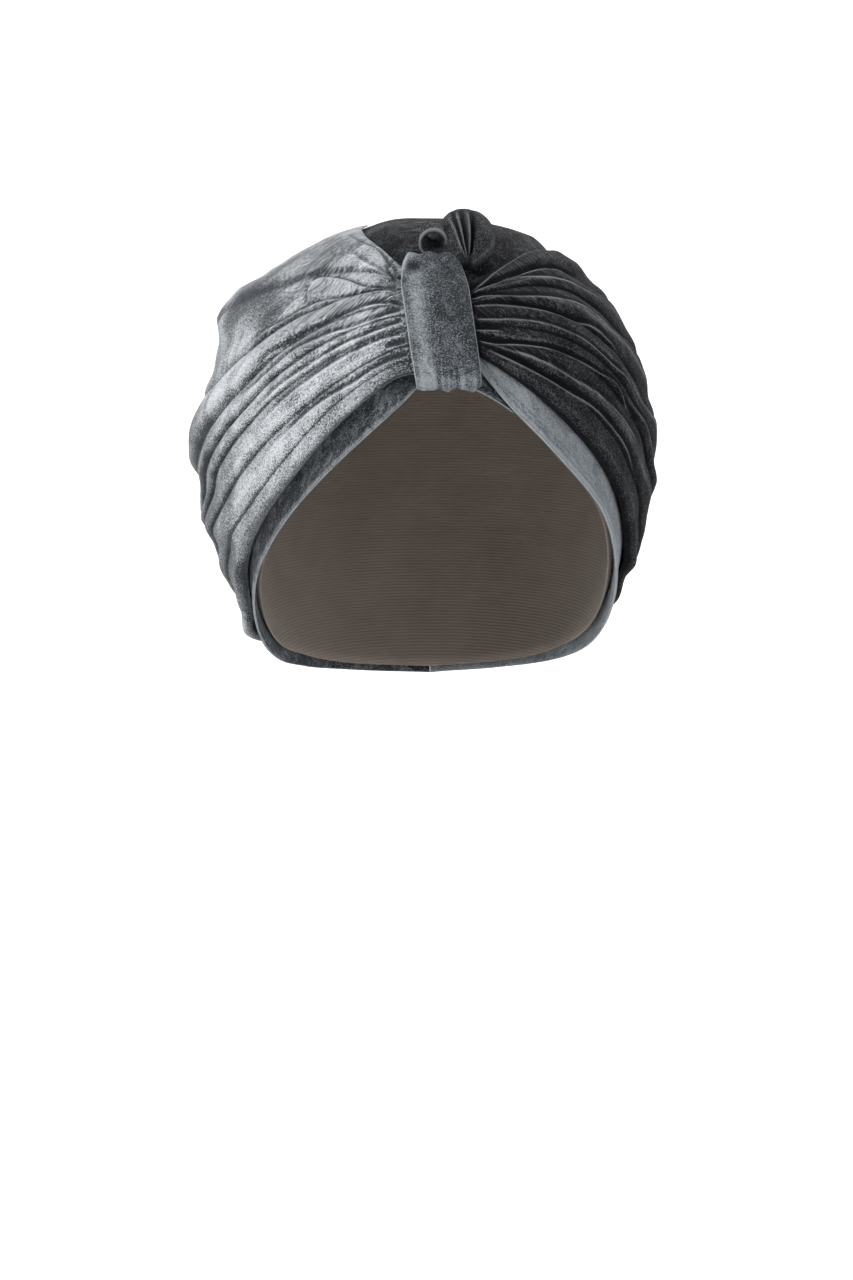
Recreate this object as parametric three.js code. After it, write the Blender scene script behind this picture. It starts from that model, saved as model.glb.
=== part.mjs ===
// Velvet turban headwrap: two pleated wraps gathered into a short front band, with a puffed gather on the crown.
// Millimetres, +Z up, the front faces -Y. The origin is the top of the hollow, where the crown of the head bears.
import * as THREE from 'three';

// The hollow that the head fills, and the outside that the wraps swell to, as half sizes about one centre.
const hollow = { halfWidth: 78, front: 88, back: 97, up: 83, down: 122 };
const outside = { halfWidth: 92, front: 100, back: 112, up: 88, down: 120 };
const roundness = 2.15;
const centre = new THREE.Vector3(0, 0, -hollow.up);

// Cloth thicknesses and the clear gap between neighbouring layers.
const liningThickness = 1;
const hemThickness = 1.5;
const wrapThickness = 1.7;
const crownThickness = 1.6;
const bandThickness = 2.2;
const layerGap = 0.35;

// Room that a layer's flat facets take where they cut inside its curve.
const facetRoom = 0.25;

// How far the fullest fold stands over the outside form, and the least room that a fold keeps.
const foldRise = 2;
const leastFoldRoom = 2;
const hemRoll = 0.3;
const hemSetBack = 1.5;
const hemTuck = 6;

// At the front the left hem passes under the right one. These are where their ends lie, as degrees of azimuth.
const hemOverlap = 20;
const hemHidden = 7;

// The crossed layers lie down to one hem's thickness between these azimuths.
const crossingEnd = 24;
const layDownEnd = 60;

// The back seam: the clear gap between the two wraps, and the swell that they share there.
const seamAzimuth = 180;
const wrapSeamGap = 0.6;
const seamSwell = 0.72;
const seamEdge = 16;
const seamBlendStart = 115;
const seamBlend = 0.94;

// The front band: its width, how far it leans, and the puckers of its gathered lower edge.
const bandHalfWidth = 12.7;
const bandTopElevation = 48.8;
const bandBottomElevation = 16.4;
const bandTopAzimuth = 0.2;
const bandBottomAzimuth = 4.2;
const bandTuck = 6.5;
const bandPucker = 0.7;
const bandPuckerCount = 3;
const bandScallop = 0.6;
const bandGatherRoom = 1.3;
const bandSideShare = 0.45;

// Sections along the band. down is how far along it, width a share of its half width, height a share of its base, and
// turn how far the cloth turns.
const bandRows = [
  { down: -0.02, width: 0.66, height: 0.76, turn: -85 },
  { down: -0.018, width: 0.67, height: 0.92, turn: -55 },
  { down: 0.012, width: 0.7, height: 1, turn: -15 },
  { down: 0.1, width: 0.86, height: 1, turn: 0 },
  { down: 0.3, width: 1, height: 1, turn: 0 },
  { down: 0.5, width: 1, height: 1, turn: 0 },
  { down: 0.66, width: 1, height: 1, turn: 0 },
  { down: 0.8, width: 1, height: 1, turn: 0 },
  { down: 0.92, width: 0.985, height: 1, turn: 0 },
  { down: 0.985, width: 0.97, height: 1, turn: 20 },
  { down: 1.018, width: 0.965, height: 0.88, turn: 70 },
  { down: 1.02, width: 0.96, height: 0.62, turn: 95 },
];

// The puffed gather that fans back and up from its root at the band's top right corner. Roots and tips are shares of
// the outside's half width and of its front.
const puff = {
  root: { x: 0.148, y: -0.65 },
  tip: { x: 0.142, y: -0.22 },
  rootHalfWidth: 1.5,
  halfWidth: 10.6,
  height: 9.2,
  rim: 1.4,
  pleats: 3,
  pleatDepth: 1,
};

// The small rolled fold that stands at the band's top edge, left of the puff.
const curl = {
  root: { x: 0.018, y: -0.588 },
  tip: { x: 0.006, y: -0.482 },
  rootHalfWidth: 1.6,
  halfWidth: 3.4,
  height: 4.4,
  rim: 1.2,
  pleats: 1,
  pleatDepth: 0.6,
};

// The crown panel: how far it lies under the outside form, and its rim and slope beside the wraps' top edges.
const crownDrop = 0.5;
const crownTuck = 10;
const crownClear = 2.5;
const crownRise = 12;
const crownBackRise = 4.5;
const backStart = 95;
const backEnd = 170;

// Places along the wraps where the tables give a line's height, as degrees round from the front centre.
const stations = [0, 8, 20, 34, 50, 80, 120, 180];

// Each row is a line round the head: its elevation in degrees, seen from the centre, at each of the stations.
const lines = {
  leftOpening: { centre: 19.2, band: 11.1, brow: 0.3, temple: -12.3, side: -26.5, ear: -50.5, behind: -58, nape: -60 },
  rightOpening: { centre: 19.2, band: 16.9, brow: 10.2, temple: -2.5, side: -15.6, ear: -45, behind: -56, nape: -60 },
  rightHem: { centre: 25, band: 23.5, brow: 10.2, temple: -2.5, side: -15.6, ear: -45, behind: -56, nape: -60 },
};

// Each row is a crease and the fold above it. depth is how full the crease stays, swell is the fold's fullness and
// crest is where across the fold it is highest. All three are shares.
const leftFolds = [
  { centre: 19, band: 17.6, brow: 8, temple: -6, side: -20.5, ear: -45, behind: -51, nape: -52, depth: 0, swell: 0.6, crest: 0.5 },
  { centre: 21.5, band: 20.4, brow: 12, temple: -1.5, side: -15, ear: -35, behind: -45, nape: -48, depth: 0.42, swell: 0.8, crest: 0.6 },
  { centre: 25, band: 24.2, brow: 17, temple: 6, side: -6.5, ear: -27, behind: -39, nape: -43, depth: 0.5, swell: 0.86, crest: 0.45 },
  { centre: 29.3, band: 28.8, brow: 23.4, temple: 14, side: 1.5, ear: -18.5, behind: -32, nape: -37, depth: 0.5, swell: 0.92, crest: 0.5 },
  { centre: 32.3, band: 32, brow: 27.3, temple: 18.7, side: 6.5, ear: -12, behind: -26, nape: -32, depth: 0.52, swell: 1.05, crest: 0.4 },
  { centre: 35.3, band: 35, brow: 31.5, temple: 24, side: 12.5, ear: -4.5, behind: -18, nape: -25, depth: 0.5, swell: 1.25, crest: 0.4 },
  { centre: 40, band: 39.8, brow: 37.6, temple: 32.5, side: 23.5, ear: 10, behind: -3, nape: -12, depth: 0.25, swell: 0.75, crest: 0.4 },
  { centre: 43, band: 43, brow: 44.5, temple: 44.5, side: 40, ear: 31, behind: 18, nape: 3, depth: 0.55, swell: 1.12, crest: 0.4 },
  { centre: 46, band: 47.5, brow: 55.5, temple: 62, side: 67.5, ear: 73, behind: 69, nape: 25, depth: 0, swell: 0, crest: 0.5 },
];
const rightFolds = [
  { centre: 26, band: 24.6, brow: 17.7, temple: 6.8, side: -6.5, ear: -34, behind: -47, nape: -52, depth: 0, swell: 0.35, crest: 0.55 },
  { centre: 26.6, band: 26, brow: 21.5, temple: 14, side: 2, ear: -25, behind: -40, nape: -46, depth: 0.22, swell: 0.55, crest: 0.6 },
  { centre: 28, band: 27.6, brow: 25, temple: 22.3, side: 13.5, ear: -9, behind: -26, nape: -36, depth: 0.28, swell: 0.66, crest: 0.6 },
  { centre: 30.5, band: 30.2, brow: 29.3, temple: 26.3, side: 17.7, ear: -2.5, behind: -19, nape: -29, depth: 0.42, swell: 0.7, crest: 0.6 },
  { centre: 34, band: 34, brow: 34.8, temple: 32.8, side: 26.2, ear: 9, behind: -8, nape: -20, depth: 0.32, swell: 0.72, crest: 0.6 },
  { centre: 36.8, band: 36.9, brow: 39, temple: 40.2, side: 38.3, ear: 25, behind: 8, nape: -9, depth: 0.35, swell: 0.7, crest: 0.55 },
  { centre: 38.8, band: 39, brow: 41.5, temple: 45.8, side: 48, ear: 42, behind: 27, nape: 6, depth: 0.32, swell: 0.86, crest: 0.55 },
  { centre: 41, band: 42, brow: 46, temple: 51.5, side: 55, ear: 56.5, behind: 48, nape: 25, depth: 0, swell: 0, crest: 0.5 },
];

// How far each wrap stands out from its folds, or in, at the turban's side. The values are in millimetres.
const sideRows = [
  { elevation: -47, left: 3, right: 2 },
  { elevation: -41, left: -1.4, right: 1.6 },
  { elevation: -35, left: -2, right: -1.2 },
  { elevation: -30, left: -1.4, right: 0.8 },
  { elevation: -25, left: -2.2, right: 0 },
  { elevation: -19, left: 0.6, right: -0.6 },
  { elevation: -11, left: -2.4, right: 0.6 },
  { elevation: -4, left: -0.8, right: -1 },
  { elevation: 5, left: -0.6, right: -0.4 },
  { elevation: 12, left: -0.8, right: -3.2 },
  { elevation: 18, left: -2.6, right: -2.6 },
  { elevation: 24, left: -1.2, right: -2 },
  { elevation: 30, left: 2.9, right: -3.2 },
  { elevation: 37, left: 1, right: -2.2 },
  { elevation: 45, left: -2.6, right: -4.2 },
  { elevation: 51, left: -3.3, right: -2 },
  { elevation: 57, left: -3, right: 0 },
  { elevation: 66, left: -2.6, right: 0 },
];
const sideStart = 38;
const sideFull = 74;
const sideFade = 106;
const sideEnd = 150;
const hemFlare = 2.6;
const hemFlareEnd = 0.45;

// How strongly the folds show at each station: gathered small at the band, full at the side, fading to the seam.
const foldShow = [1, 1, 1, 1, 1, 0.95, 0.6, 0.3];
const fullness = [0.14, 0.16, 0.6, 0.95, 1, 1, 1, 0.92];

// Mesh fineness.
const wrapColumns = 25;
const foldShares = [0, 0.22, 0.5, 0.8];
const ringColumns = 32;
const hemColumns = 27;
const bandColumns = 17;

const degree = Math.PI / 180;

function mix(a, b, share) {
  return a + (b - a) * share;
}

function smoothStep(low, high, value) {
  const share = Math.min(1, Math.max(0, (value - low) / (high - low)));
  return share * share * (3 - 2 * share);
}

// A smooth curve through one value at each station.
function alongStations(values, place) {
  const last = stations.length - 1;
  const x = Math.min(stations[last], Math.max(stations[0], place));
  let k = 0;
  while (k < last - 1 && x > stations[k + 1]) k += 1;
  const slopeAt = (i) => {
    const before = Math.max(0, i - 1);
    const after = Math.min(last, i + 1);
    return (values[after] - values[before]) / (stations[after] - stations[before]);
  };
  const span = stations[k + 1] - stations[k];
  const u = (x - stations[k]) / span;
  const bend = u * u * (3 - 2 * u);
  const startPull = u * (1 - u) * (1 - u) * span * slopeAt(k);
  const endPull = u * u * (u - 1) * span * slopeAt(k + 1);
  return mix(values[k], values[k + 1], bend) + startPull + endPull;
}

function lineValues(row) {
  return [row.centre, row.band, row.brow, row.temple, row.side, row.ear, row.behind, row.nape];
}

function lineElevation(row, azimuth) {
  return alongStations(lineValues(row), Math.abs(azimuth));
}

// Directions from the centre: azimuth 0 is the front, and +90 is +X.
function direction(azimuth, elevation) {
  const flat = Math.cos(elevation * degree);
  const x = Math.sin(azimuth * degree) * flat;
  const y = -Math.cos(azimuth * degree) * flat;
  return new THREE.Vector3(x, y, Math.sin(elevation * degree));
}

// Distance from the centre to a form's surface along a direction.
function formRadius(form, way) {
  const depth = way.y < 0 ? form.front : form.back;
  const height = way.z > 0 ? form.up : form.down;
  const sum = Math.abs(way.x / form.halfWidth) ** roundness
    + Math.abs(way.y / depth) ** roundness
    + Math.abs(way.z / height) ** roundness;
  return sum ** (-1 / roundness);
}

function pointAt(azimuth, elevation, lift) {
  const way = direction(azimuth, elevation);
  return way.multiplyScalar(formRadius(hollow, way) + lift).add(centre);
}

// Room between the hollow and the outside form along a direction.
function roomAt(azimuth, elevation) {
  const way = direction(azimuth, elevation);
  return formRadius(outside, way) - formRadius(hollow, way);
}

function degreesFor(length, azimuth, elevation) {
  return length / formRadius(hollow, direction(azimuth, elevation)) / degree;
}

// Heights over the hollow at which each layer starts.
const leftHemBase = liningThickness + layerGap + facetRoom;
const rightHemBase = leftHemBase + hemThickness + hemRoll + layerGap;
const wrapBaseAtBand = rightHemBase + hemThickness + hemRoll + layerGap;
const wrapBaseAtSide = leftHemBase + hemThickness + hemRoll + layerGap;
const crownBase = liningThickness + layerGap + 3 * facetRoom;
const wrapBaseAtCrown = crownBase + crownThickness + layerGap + facetRoom;
const bandBase = wrapBaseAtBand + wrapThickness + bandGatherRoom + layerGap;

// The crossed layers at the front lie down to one hem's thickness by the side of the head.
function layDown(front, side, round) {
  return mix(front, side, smoothStep(crossingEnd, layDownEnd, round));
}

// The crown's layers stand a little further out towards the back, where the wraps are fuller.
function crownLift(round) {
  return crownBackRise * smoothStep(backStart, backEnd, Math.abs(round));
}

// A closed wall between two grids of points. ring joins the last column to the first, and pole closes the last row.
function wallGeometry(outer, inner, { ring = false, pole = false } = {}) {
  const positions = [];
  const triangles = [];
  const rowCount = pole ? outer.length - 1 : outer.length;
  const columnCount = outer[0].length;
  const layerSize = rowCount * columnCount;
  for (const grid of [outer, inner]) {
    for (const row of grid.slice(0, rowCount)) {
      for (const point of row) positions.push(point.x, point.y, point.z);
    }
  }
  const at = (layer, row, column) => layer * layerSize + row * columnCount + (column % columnCount);
  const quad = (a, b, c, d) => triangles.push(a, b, c, a, c, d);
  const spans = ring ? columnCount : columnCount - 1;
  for (let i = 0; i < rowCount - 1; i += 1) {
    for (let j = 0; j < spans; j += 1) {
      quad(at(0, i, j), at(0, i, j + 1), at(0, i + 1, j + 1), at(0, i + 1, j));
      quad(at(1, i, j), at(1, i + 1, j), at(1, i + 1, j + 1), at(1, i, j + 1));
    }
  }
  for (let j = 0; j < spans; j += 1) {
    quad(at(0, 0, j), at(1, 0, j), at(1, 0, j + 1), at(0, 0, j + 1));
    if (!pole) {
      const end = rowCount - 1;
      quad(at(0, end, j), at(0, end, j + 1), at(1, end, j + 1), at(1, end, j));
    }
  }
  if (!ring) {
    for (let i = 0; i < rowCount - 1; i += 1) {
      const end = columnCount - 1;
      quad(at(0, i, 0), at(0, i + 1, 0), at(1, i + 1, 0), at(1, i, 0));
      quad(at(0, i, end), at(1, i, end), at(1, i + 1, end), at(0, i + 1, end));
    }
  }
  if (pole) {
    const tips = [outer, inner].map((grid) => grid[rowCount][0]);
    for (const tip of tips) positions.push(tip.x, tip.y, tip.z);
    const end = rowCount - 1;
    for (let j = 0; j < spans; j += 1) {
      triangles.push(at(0, end, j), at(0, end, j + 1), 2 * layerSize);
      triangles.push(at(1, end, j + 1), at(1, end, j), 2 * layerSize + 1);
    }
  }
  const geometry = new THREE.BufferGeometry();
  geometry.setAttribute('position', new THREE.Float32BufferAttribute(positions, 3));
  geometry.setIndex(triangles);
  facingOut(geometry);
  geometry.computeVertexNormals();
  return geometry;
}

// Turns every triangle round when the closed body encloses a negative volume.
function facingOut(geometry) {
  const place = geometry.getAttribute('position');
  const index = geometry.getIndex();
  const corners = [new THREE.Vector3(), new THREE.Vector3(), new THREE.Vector3()];
  let volume = 0;
  for (let i = 0; i < index.count; i += 3) {
    corners.forEach((corner, k) => corner.fromBufferAttribute(place, index.getX(i + k)));
    volume += corners[0].dot(corners[1].clone().cross(corners[2]));
  }
  if (volume > 0) return;
  for (let i = 0; i < index.count; i += 3) {
    const second = index.getX(i + 1);
    index.setX(i + 1, index.getX(i + 2));
    index.setX(i + 2, second);
  }
}

function grid(rowCount, columnCount, point) {
  return Array.from({ length: rowCount }, (_, i) =>
    Array.from({ length: columnCount }, (_, j) => point(i / (rowCount - 1), j / (columnCount - 1))));
}

// The front band's centre line and the azimuth of a place across it.
function bandElevation(down) {
  return mix(bandTopElevation, bandBottomElevation, down);
}

function bandAzimuth(elevation, across) {
  const down = (elevation - bandTopElevation) / (bandBottomElevation - bandTopElevation);
  const middle = mix(bandTopAzimuth, bandBottomAzimuth, down);
  const reach = formRadius(outside, direction(middle, elevation)) * Math.cos(elevation * degree);
  return middle + across / reach / degree;
}

// A fold's cross section: 0 at its creases and 1 at its crest.
function foldSection(share, crest) {
  const climb = share < crest ? share / crest : (1 - share) / (1 - crest);
  return Math.sin(climb * Math.PI / 2) ** 0.8;
}

// The wraps' shared fullness where they meet at the back: a plain swell between their two edges.
function seamFullness(elevation) {
  const low = leftFolds[0].nape;
  const high = leftFolds[leftFolds.length - 1].nape;
  return seamSwell * smoothStep(low, low + seamEdge, elevation) * (1 - smoothStep(high - seamEdge, high, elevation));
}

// 1 at the turban's side, falling to 0 at the front and the back.
function atSide(round) {
  return smoothStep(sideStart, sideFull, round) * (1 - smoothStep(sideFade, sideEnd, round));
}

// How far a wrap stands out from its folds at the turban's side.
function sideRise(side, elevation) {
  const key = side < 0 ? 'left' : 'right';
  const next = sideRows.findIndex((row) => row.elevation > elevation);
  if (next === 0) return sideRows[0][key];
  if (next < 0) return sideRows[sideRows.length - 1][key];
  const [low, high] = [sideRows[next - 1], sideRows[next]];
  return mix(low[key], high[key], smoothStep(low.elevation, high.elevation, elevation));
}

// One pleated wrap, from under the front band round to the seam at the back.
function pleatedWrap(folds, side) {
  const rows = [];
  folds.forEach((fold, k) => {
    const shares = k < folds.length - 1 ? foldShares : [0];
    for (const share of shares) rows.push({ fold, next: folds[Math.min(k + 1, folds.length - 1)], k, share });
  });
  const points = (under) => rows.map(({ fold, next, k, share }) => {
    const height = (k + share) / (folds.length - 1);
    const edge = k === 0 || k >= folds.length - 2;
    const startElevation = mix(lineElevation(fold, 0), lineElevation(next, 0), share);
    const bandEdge = side * bandAzimuth(startElevation, side * (bandHalfWidth - bandTuck));
    return Array.from({ length: wrapColumns }, (_, j) => {
      const along = j / (wrapColumns - 1);
      const round = mix(bandEdge, seamAzimuth, mix(along, along * along, 0.25));
      const elevation = mix(lineElevation(fold, round), lineElevation(next, round), share);
      const seamShift = degreesFor(wrapSeamGap / 2, seamAzimuth, elevation) / Math.cos(elevation * degree);
      const azimuth = side * Math.min(round, seamAzimuth - seamShift);
      const show = alongStations(foldShow, round);
      const crease = edge ? mix(fold.depth, next.depth, share) : mix(fold.swell, mix(fold.depth, next.depth, share), show);
      const folded = mix(crease, fold.swell, foldSection(share, fold.crest)) * alongStations(fullness, round);
      const full = mix(folded, seamFullness(elevation), smoothStep(seamBlendStart, seamAzimuth, round) * seamBlend);
      const hemSide = layDown(wrapBaseAtBand, wrapBaseAtSide, round);
      const base = mix(hemSide, wrapBaseAtCrown + crownLift(round), smoothStep(0.5, 1, height));
      const room = Math.max(leastFoldRoom, roomAt(azimuth, elevation) - hemSide - wrapThickness) + foldRise;
      const lift = base + Math.max(0, full * room + sideRise(side, elevation) * atSide(round));
      return pointAt(azimuth, elevation, under ? lift : lift + wrapThickness);
    });
  });
  return wallGeometry(points(false), points(true));
}

// The thin inner lining that bears on the head.
function lining() {
  const ringRows = [0, 0.03, 0.14, 0.28, 0.44, 0.6, 0.76, 0.9, 1];
  const points = (lift) => ringRows.map((share) =>
    Array.from({ length: ringColumns }, (_, j) => {
      const azimuth = 360 * j / ringColumns - 180;
      const row = azimuth < 0 ? lines.leftOpening : lines.rightOpening;
      const edge = lineElevation(row, azimuth);
      const start = edge + degreesFor(hemSetBack, azimuth, edge);
      return pointAt(azimuth, mix(start, 90, share), lift);
    }));
  return wallGeometry(points(liningThickness), points(0), { ring: true, pole: true });
}

// The dark cloth over the crown, between the two wraps. Its rim lies flat under their top edges.
function crownPanel() {
  const rises = [0, 0.3, 0.65, 1];
  const domes = [0.3, 0.6, 0.85, 1];
  const points = (under) => {
    const row = (place) => Array.from({ length: ringColumns }, (_, j) => {
      const azimuth = 360 * j / ringColumns - 180;
      const folds = azimuth < 0 ? leftFolds : rightFolds;
      const edge = lineElevation(folds[folds.length - 1], azimuth);
      const inPlace = (length) => degreesFor(length, azimuth, edge);
      const { elevation, proud, toPole } = place(edge, inPlace);
      const full = Math.max(crownThickness, roomAt(azimuth, elevation) - crownDrop - crownBase);
      const flat = crownThickness + crownLift(azimuth);
      const atBack = smoothStep(backStart, backEnd, Math.abs(azimuth));
      const shoulder = mix(flat, Math.max(flat, full), proud * (1 - atBack));
      const lift = crownBase + mix(shoulder, full, toPole);
      return pointAt(azimuth, elevation, under ? lift - crownThickness : lift);
    });
    const rim = row((edge, inPlace) => ({ elevation: edge - inPlace(crownTuck), proud: 0, toPole: 0 }));
    const slope = rises.map((share) => row((edge, inPlace) =>
      ({ elevation: edge + inPlace(mix(crownClear, crownRise, share)), proud: share, toPole: 0 })));
    const dome = domes.map((share) => row((edge, inPlace) =>
      ({ elevation: mix(edge + inPlace(crownRise), 90, share), proud: 1, toPole: smoothStep(0, 1, share) })));
    return [rim, ...slope, ...dome];
  };
  return wallGeometry(points(false), points(true), { ring: true, pole: true });
}

// A turned hem band along the opening, from under the front band to the seam.
function hemBand(side, firstAzimuth, base, lowerLine, upperLine) {
  const shares = [0, 0.12, 0.5, 0.9, 1];
  const rolls = [0, 1, 0.7, 0.5, 0];
  const points = (under) => shares.map((share, i) =>
    Array.from({ length: hemColumns }, (_, j) => {
      const round = mix(firstAzimuth, seamAzimuth, j / (hemColumns - 1));
      const low = lowerLine(side * round);
      const high = upperLine(side * round) + degreesFor(hemTuck, side * round, low);
      const elevation = mix(low, high, share);
      const seamShift = degreesFor(wrapSeamGap / 2, seamAzimuth, elevation) / Math.cos(elevation * degree);
      const azimuth = side * Math.min(round, seamAzimuth - seamShift);
      const flare = hemFlare * atSide(round) * (1 - smoothStep(0, hemFlareEnd, share));
      const lift = base(round) + flare;
      return pointAt(azimuth, elevation, under ? lift : lift + hemThickness + hemRoll * rolls[i]);
    }));
  return wallGeometry(points(false), points(true));
}

// The short band that draws the wraps together. Its ends turn under, and its lower end is puckered.
function frontBand() {
  const points = (facing) => bandRows.map(({ down, width, height, turn }) =>
    Array.from({ length: bandColumns }, (_, j) => {
      const side = 2 * j / (bandColumns - 1) - 1;
      const pucker = Math.cos(side * bandPuckerCount * Math.PI) * smoothStep(0.5, 1, down);
      const scallop = degreesFor(bandScallop, 0, 0) * pucker * smoothStep(0.8, 1, down);
      const elevation = bandElevation(down) - scallop;
      const azimuth = bandAzimuth(elevation, side * bandHalfWidth * width);
      const thin = mix(bandSideShare, 1, Math.sqrt(1 - Math.abs(side) ** 6));
      const middle = (bandBase + bandThickness / 2) * height - bandThickness * (1 - thin) / 2;
      const out = direction(azimuth, elevation).multiplyScalar(Math.cos(turn * degree));
      const along = direction(azimuth, elevation - 90).multiplyScalar(Math.sin(turn * degree));
      const half = bandThickness / 2 * thin * facing + Math.max(facing, 0) * bandPucker * pucker * thin;
      return pointAt(azimuth, elevation, middle).add(out.add(along).multiplyScalar(half));
    }));
  return wallGeometry(points(1), points(-1));
}

// A place over the crown, by its X and Y, lifted from the outside form.
function crownPoint(x, y, lift) {
  const depth = y < 0 ? outside.front : outside.back;
  const rest = 1 - Math.abs(x / outside.halfWidth) ** roundness - Math.abs(y / depth) ** roundness;
  const way = new THREE.Vector3(x, y, outside.up * rest ** (1 / roundness)).normalize();
  return way.multiplyScalar(formRadius(outside, way) + lift).add(centre);
}

// A gathered lobe of cloth on the crown, pleated like a fan from its root at the band.
function gatheredLobe(lobe, lengthCount, fanCount) {
  const points = (under) => grid(lengthCount, fanCount, (along, across) => {
    const side = 2 * across - 1;
    const swell = Math.sin(Math.PI * mix(0, 0.86, along ** 0.95)) ** 1.1;
    const halfWidth = mix(lobe.rootHalfWidth, lobe.halfWidth, swell);
    const x = mix(lobe.root.x, lobe.tip.x, along ** 0.75) * outside.halfWidth + side * halfWidth;
    const y = mix(lobe.root.y, lobe.tip.y, along - 0.12 * along * side * side) * outside.front;
    const length = Math.sin(Math.PI * mix(0.1, 0.98, along ** 0.75)) ** 0.6;
    const width = Math.max(0, 1 - Math.abs(side) ** 2.2) ** 0.5;
    const pleat = Math.cos(side * lobe.pleats * Math.PI) * lobe.pleatDepth * (1 - along * along);
    const lift = lobe.rim + Math.max(0, (lobe.height + pleat) * length * width);
    return crownPoint(x, y, under ? lift - lobe.rim : lift);
  });
  return wallGeometry(points(false), points(true));
}

const leftVelvet = { color: 0x8b9299, roughness: 0.55, metalness: 0 };
const rightVelvet = { color: 0x34383d, roughness: 0.6, metalness: 0 };
const hemDark = { color: 0x3d4247, roughness: 0.6, metalness: 0 };
const hemLight = { color: 0x7d848b, roughness: 0.6, metalness: 0 };
const bandVelvet = { color: 0x5d6469, roughness: 0.55, metalness: 0 };
const crownVelvet = { color: 0x26282b, roughness: 0.65, metalness: 0 };
const liningKnit = { color: 0x8c7f74, roughness: 0.9, metalness: 0 };

const turban = new THREE.Group();

function add(name, geometry, finish) {
  const mesh = new THREE.Mesh(geometry, new THREE.MeshStandardMaterial(finish));
  mesh.name = name;
  turban.add(mesh);
}

const leftOpening = (azimuth) => lineElevation(azimuth < 0 ? lines.leftOpening : lines.rightOpening, azimuth);
const leftEdge = (azimuth) => lineElevation(leftFolds[0], azimuth);
const rightOpening = (azimuth) => lineElevation(lines.rightHem, azimuth);
const rightHemLift = (round) => layDown(rightHemBase, leftHemBase, round);
const rightEdge = (azimuth) => lineElevation(rightFolds[0], azimuth);

add('lining', lining(), liningKnit);
add('crown_panel', crownPanel(), crownVelvet);
add('left_hem_band', hemBand(-1, -hemOverlap, () => leftHemBase, leftOpening, leftEdge), hemDark);
add('right_hem_band', hemBand(1, hemHidden, rightHemLift, rightOpening, rightEdge), hemLight);
add('left_wrap', pleatedWrap(leftFolds, -1), leftVelvet);
add('right_wrap', pleatedWrap(rightFolds, 1), rightVelvet);
add('front_band', frontBand(), bandVelvet);
add('crown_puff', gatheredLobe(puff, 12, 23), crownVelvet);
add('puff_curl', gatheredLobe(curl, 8, 11), crownVelvet);

export default turban;
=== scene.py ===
"""Velvet turban headwrap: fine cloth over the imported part, with its finishes, stage, lights and camera."""

import math
from collections import namedtuple

import bpy
import numpy as np
from bpy.props import FloatProperty, FloatVectorProperty, PointerProperty
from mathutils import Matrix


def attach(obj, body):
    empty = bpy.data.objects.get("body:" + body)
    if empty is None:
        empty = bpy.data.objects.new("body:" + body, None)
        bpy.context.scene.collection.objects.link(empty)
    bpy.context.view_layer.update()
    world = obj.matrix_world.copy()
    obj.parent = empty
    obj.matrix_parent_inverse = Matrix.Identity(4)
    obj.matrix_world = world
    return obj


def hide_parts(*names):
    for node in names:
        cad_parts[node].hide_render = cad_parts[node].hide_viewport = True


bl_info = {
    "name": "Turban headwrap looks",
    "version": (1, 0, 0),
    "blender": (4, 5, 0),
    "location": "View3D > Sidebar > Turban",
    "description": "Velvet wraps, hems, band, gathers and lining of a turban headwrap, with its stage",
    "category": "Object",
}

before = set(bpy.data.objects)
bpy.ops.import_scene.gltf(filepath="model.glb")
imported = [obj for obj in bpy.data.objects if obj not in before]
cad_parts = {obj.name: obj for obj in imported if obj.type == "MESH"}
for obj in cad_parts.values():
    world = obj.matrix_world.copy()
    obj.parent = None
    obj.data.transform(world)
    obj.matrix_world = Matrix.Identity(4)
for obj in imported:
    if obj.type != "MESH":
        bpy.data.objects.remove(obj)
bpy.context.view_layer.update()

# The forms are in millimetres about one centre. The meshes are in metres.
MM = 0.001
UV_UNIT = 100.0  # one unit of a UV map is this many millimetres of cloth
INNER_UV_SHIFT = 0.37  # moves the pattern of a piece's inner face, so that its two faces differ
BALL_RADIUS = 95.0  # distances over the cloth are measured on a ball of this radius
CENTRE = np.array([0.0, 0.0, -83.0])
ROUNDNESS = 2.15

Form = namedtuple("Form", "half_width front back up down")
HOLLOW = Form(half_width=78, front=88, back=97, up=83, down=122)
OUTSIDE = Form(half_width=92, front=100, back=112, up=88, down=120)

# Cloth thicknesses, the clear gap between layers, and how they stack over the hollow.
LINING_THICKNESS = 1.0
HEM_THICKNESS = 1.5
WRAP_THICKNESS = 1.7
CROWN_THICKNESS = 1.6
BAND_THICKNESS = 2.2
LAYER_GAP = 0.35
FACET_ROOM = 0.25
HEM_ROLL = 0.3
HEM_ROUND = 0.06  # the share of a hem's width that rounds over at each edge
HEM_TUCK = 6.0
HEM_SET_BACK = 1.5
FOLD_RISE = 2.0
LIP_SHARPNESS = 0.36
LEAST_FOLD_ROOM = 2.0
LEFT_HEM_BASE = LINING_THICKNESS + LAYER_GAP + FACET_ROOM
RIGHT_HEM_BASE = LEFT_HEM_BASE + HEM_THICKNESS + HEM_ROLL + LAYER_GAP
WRAP_BASE_AT_BAND = RIGHT_HEM_BASE + HEM_THICKNESS + HEM_ROLL + LAYER_GAP
WRAP_BASE_AT_SIDE = LEFT_HEM_BASE + HEM_THICKNESS + HEM_ROLL + LAYER_GAP
CROWN_BASE = LINING_THICKNESS + LAYER_GAP + 3 * FACET_ROOM
WRAP_BASE_AT_CROWN = CROWN_BASE + CROWN_THICKNESS + LAYER_GAP + FACET_ROOM
BAND_BASE = WRAP_BASE_AT_BAND + WRAP_THICKNESS + 1.3 + LAYER_GAP

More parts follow.
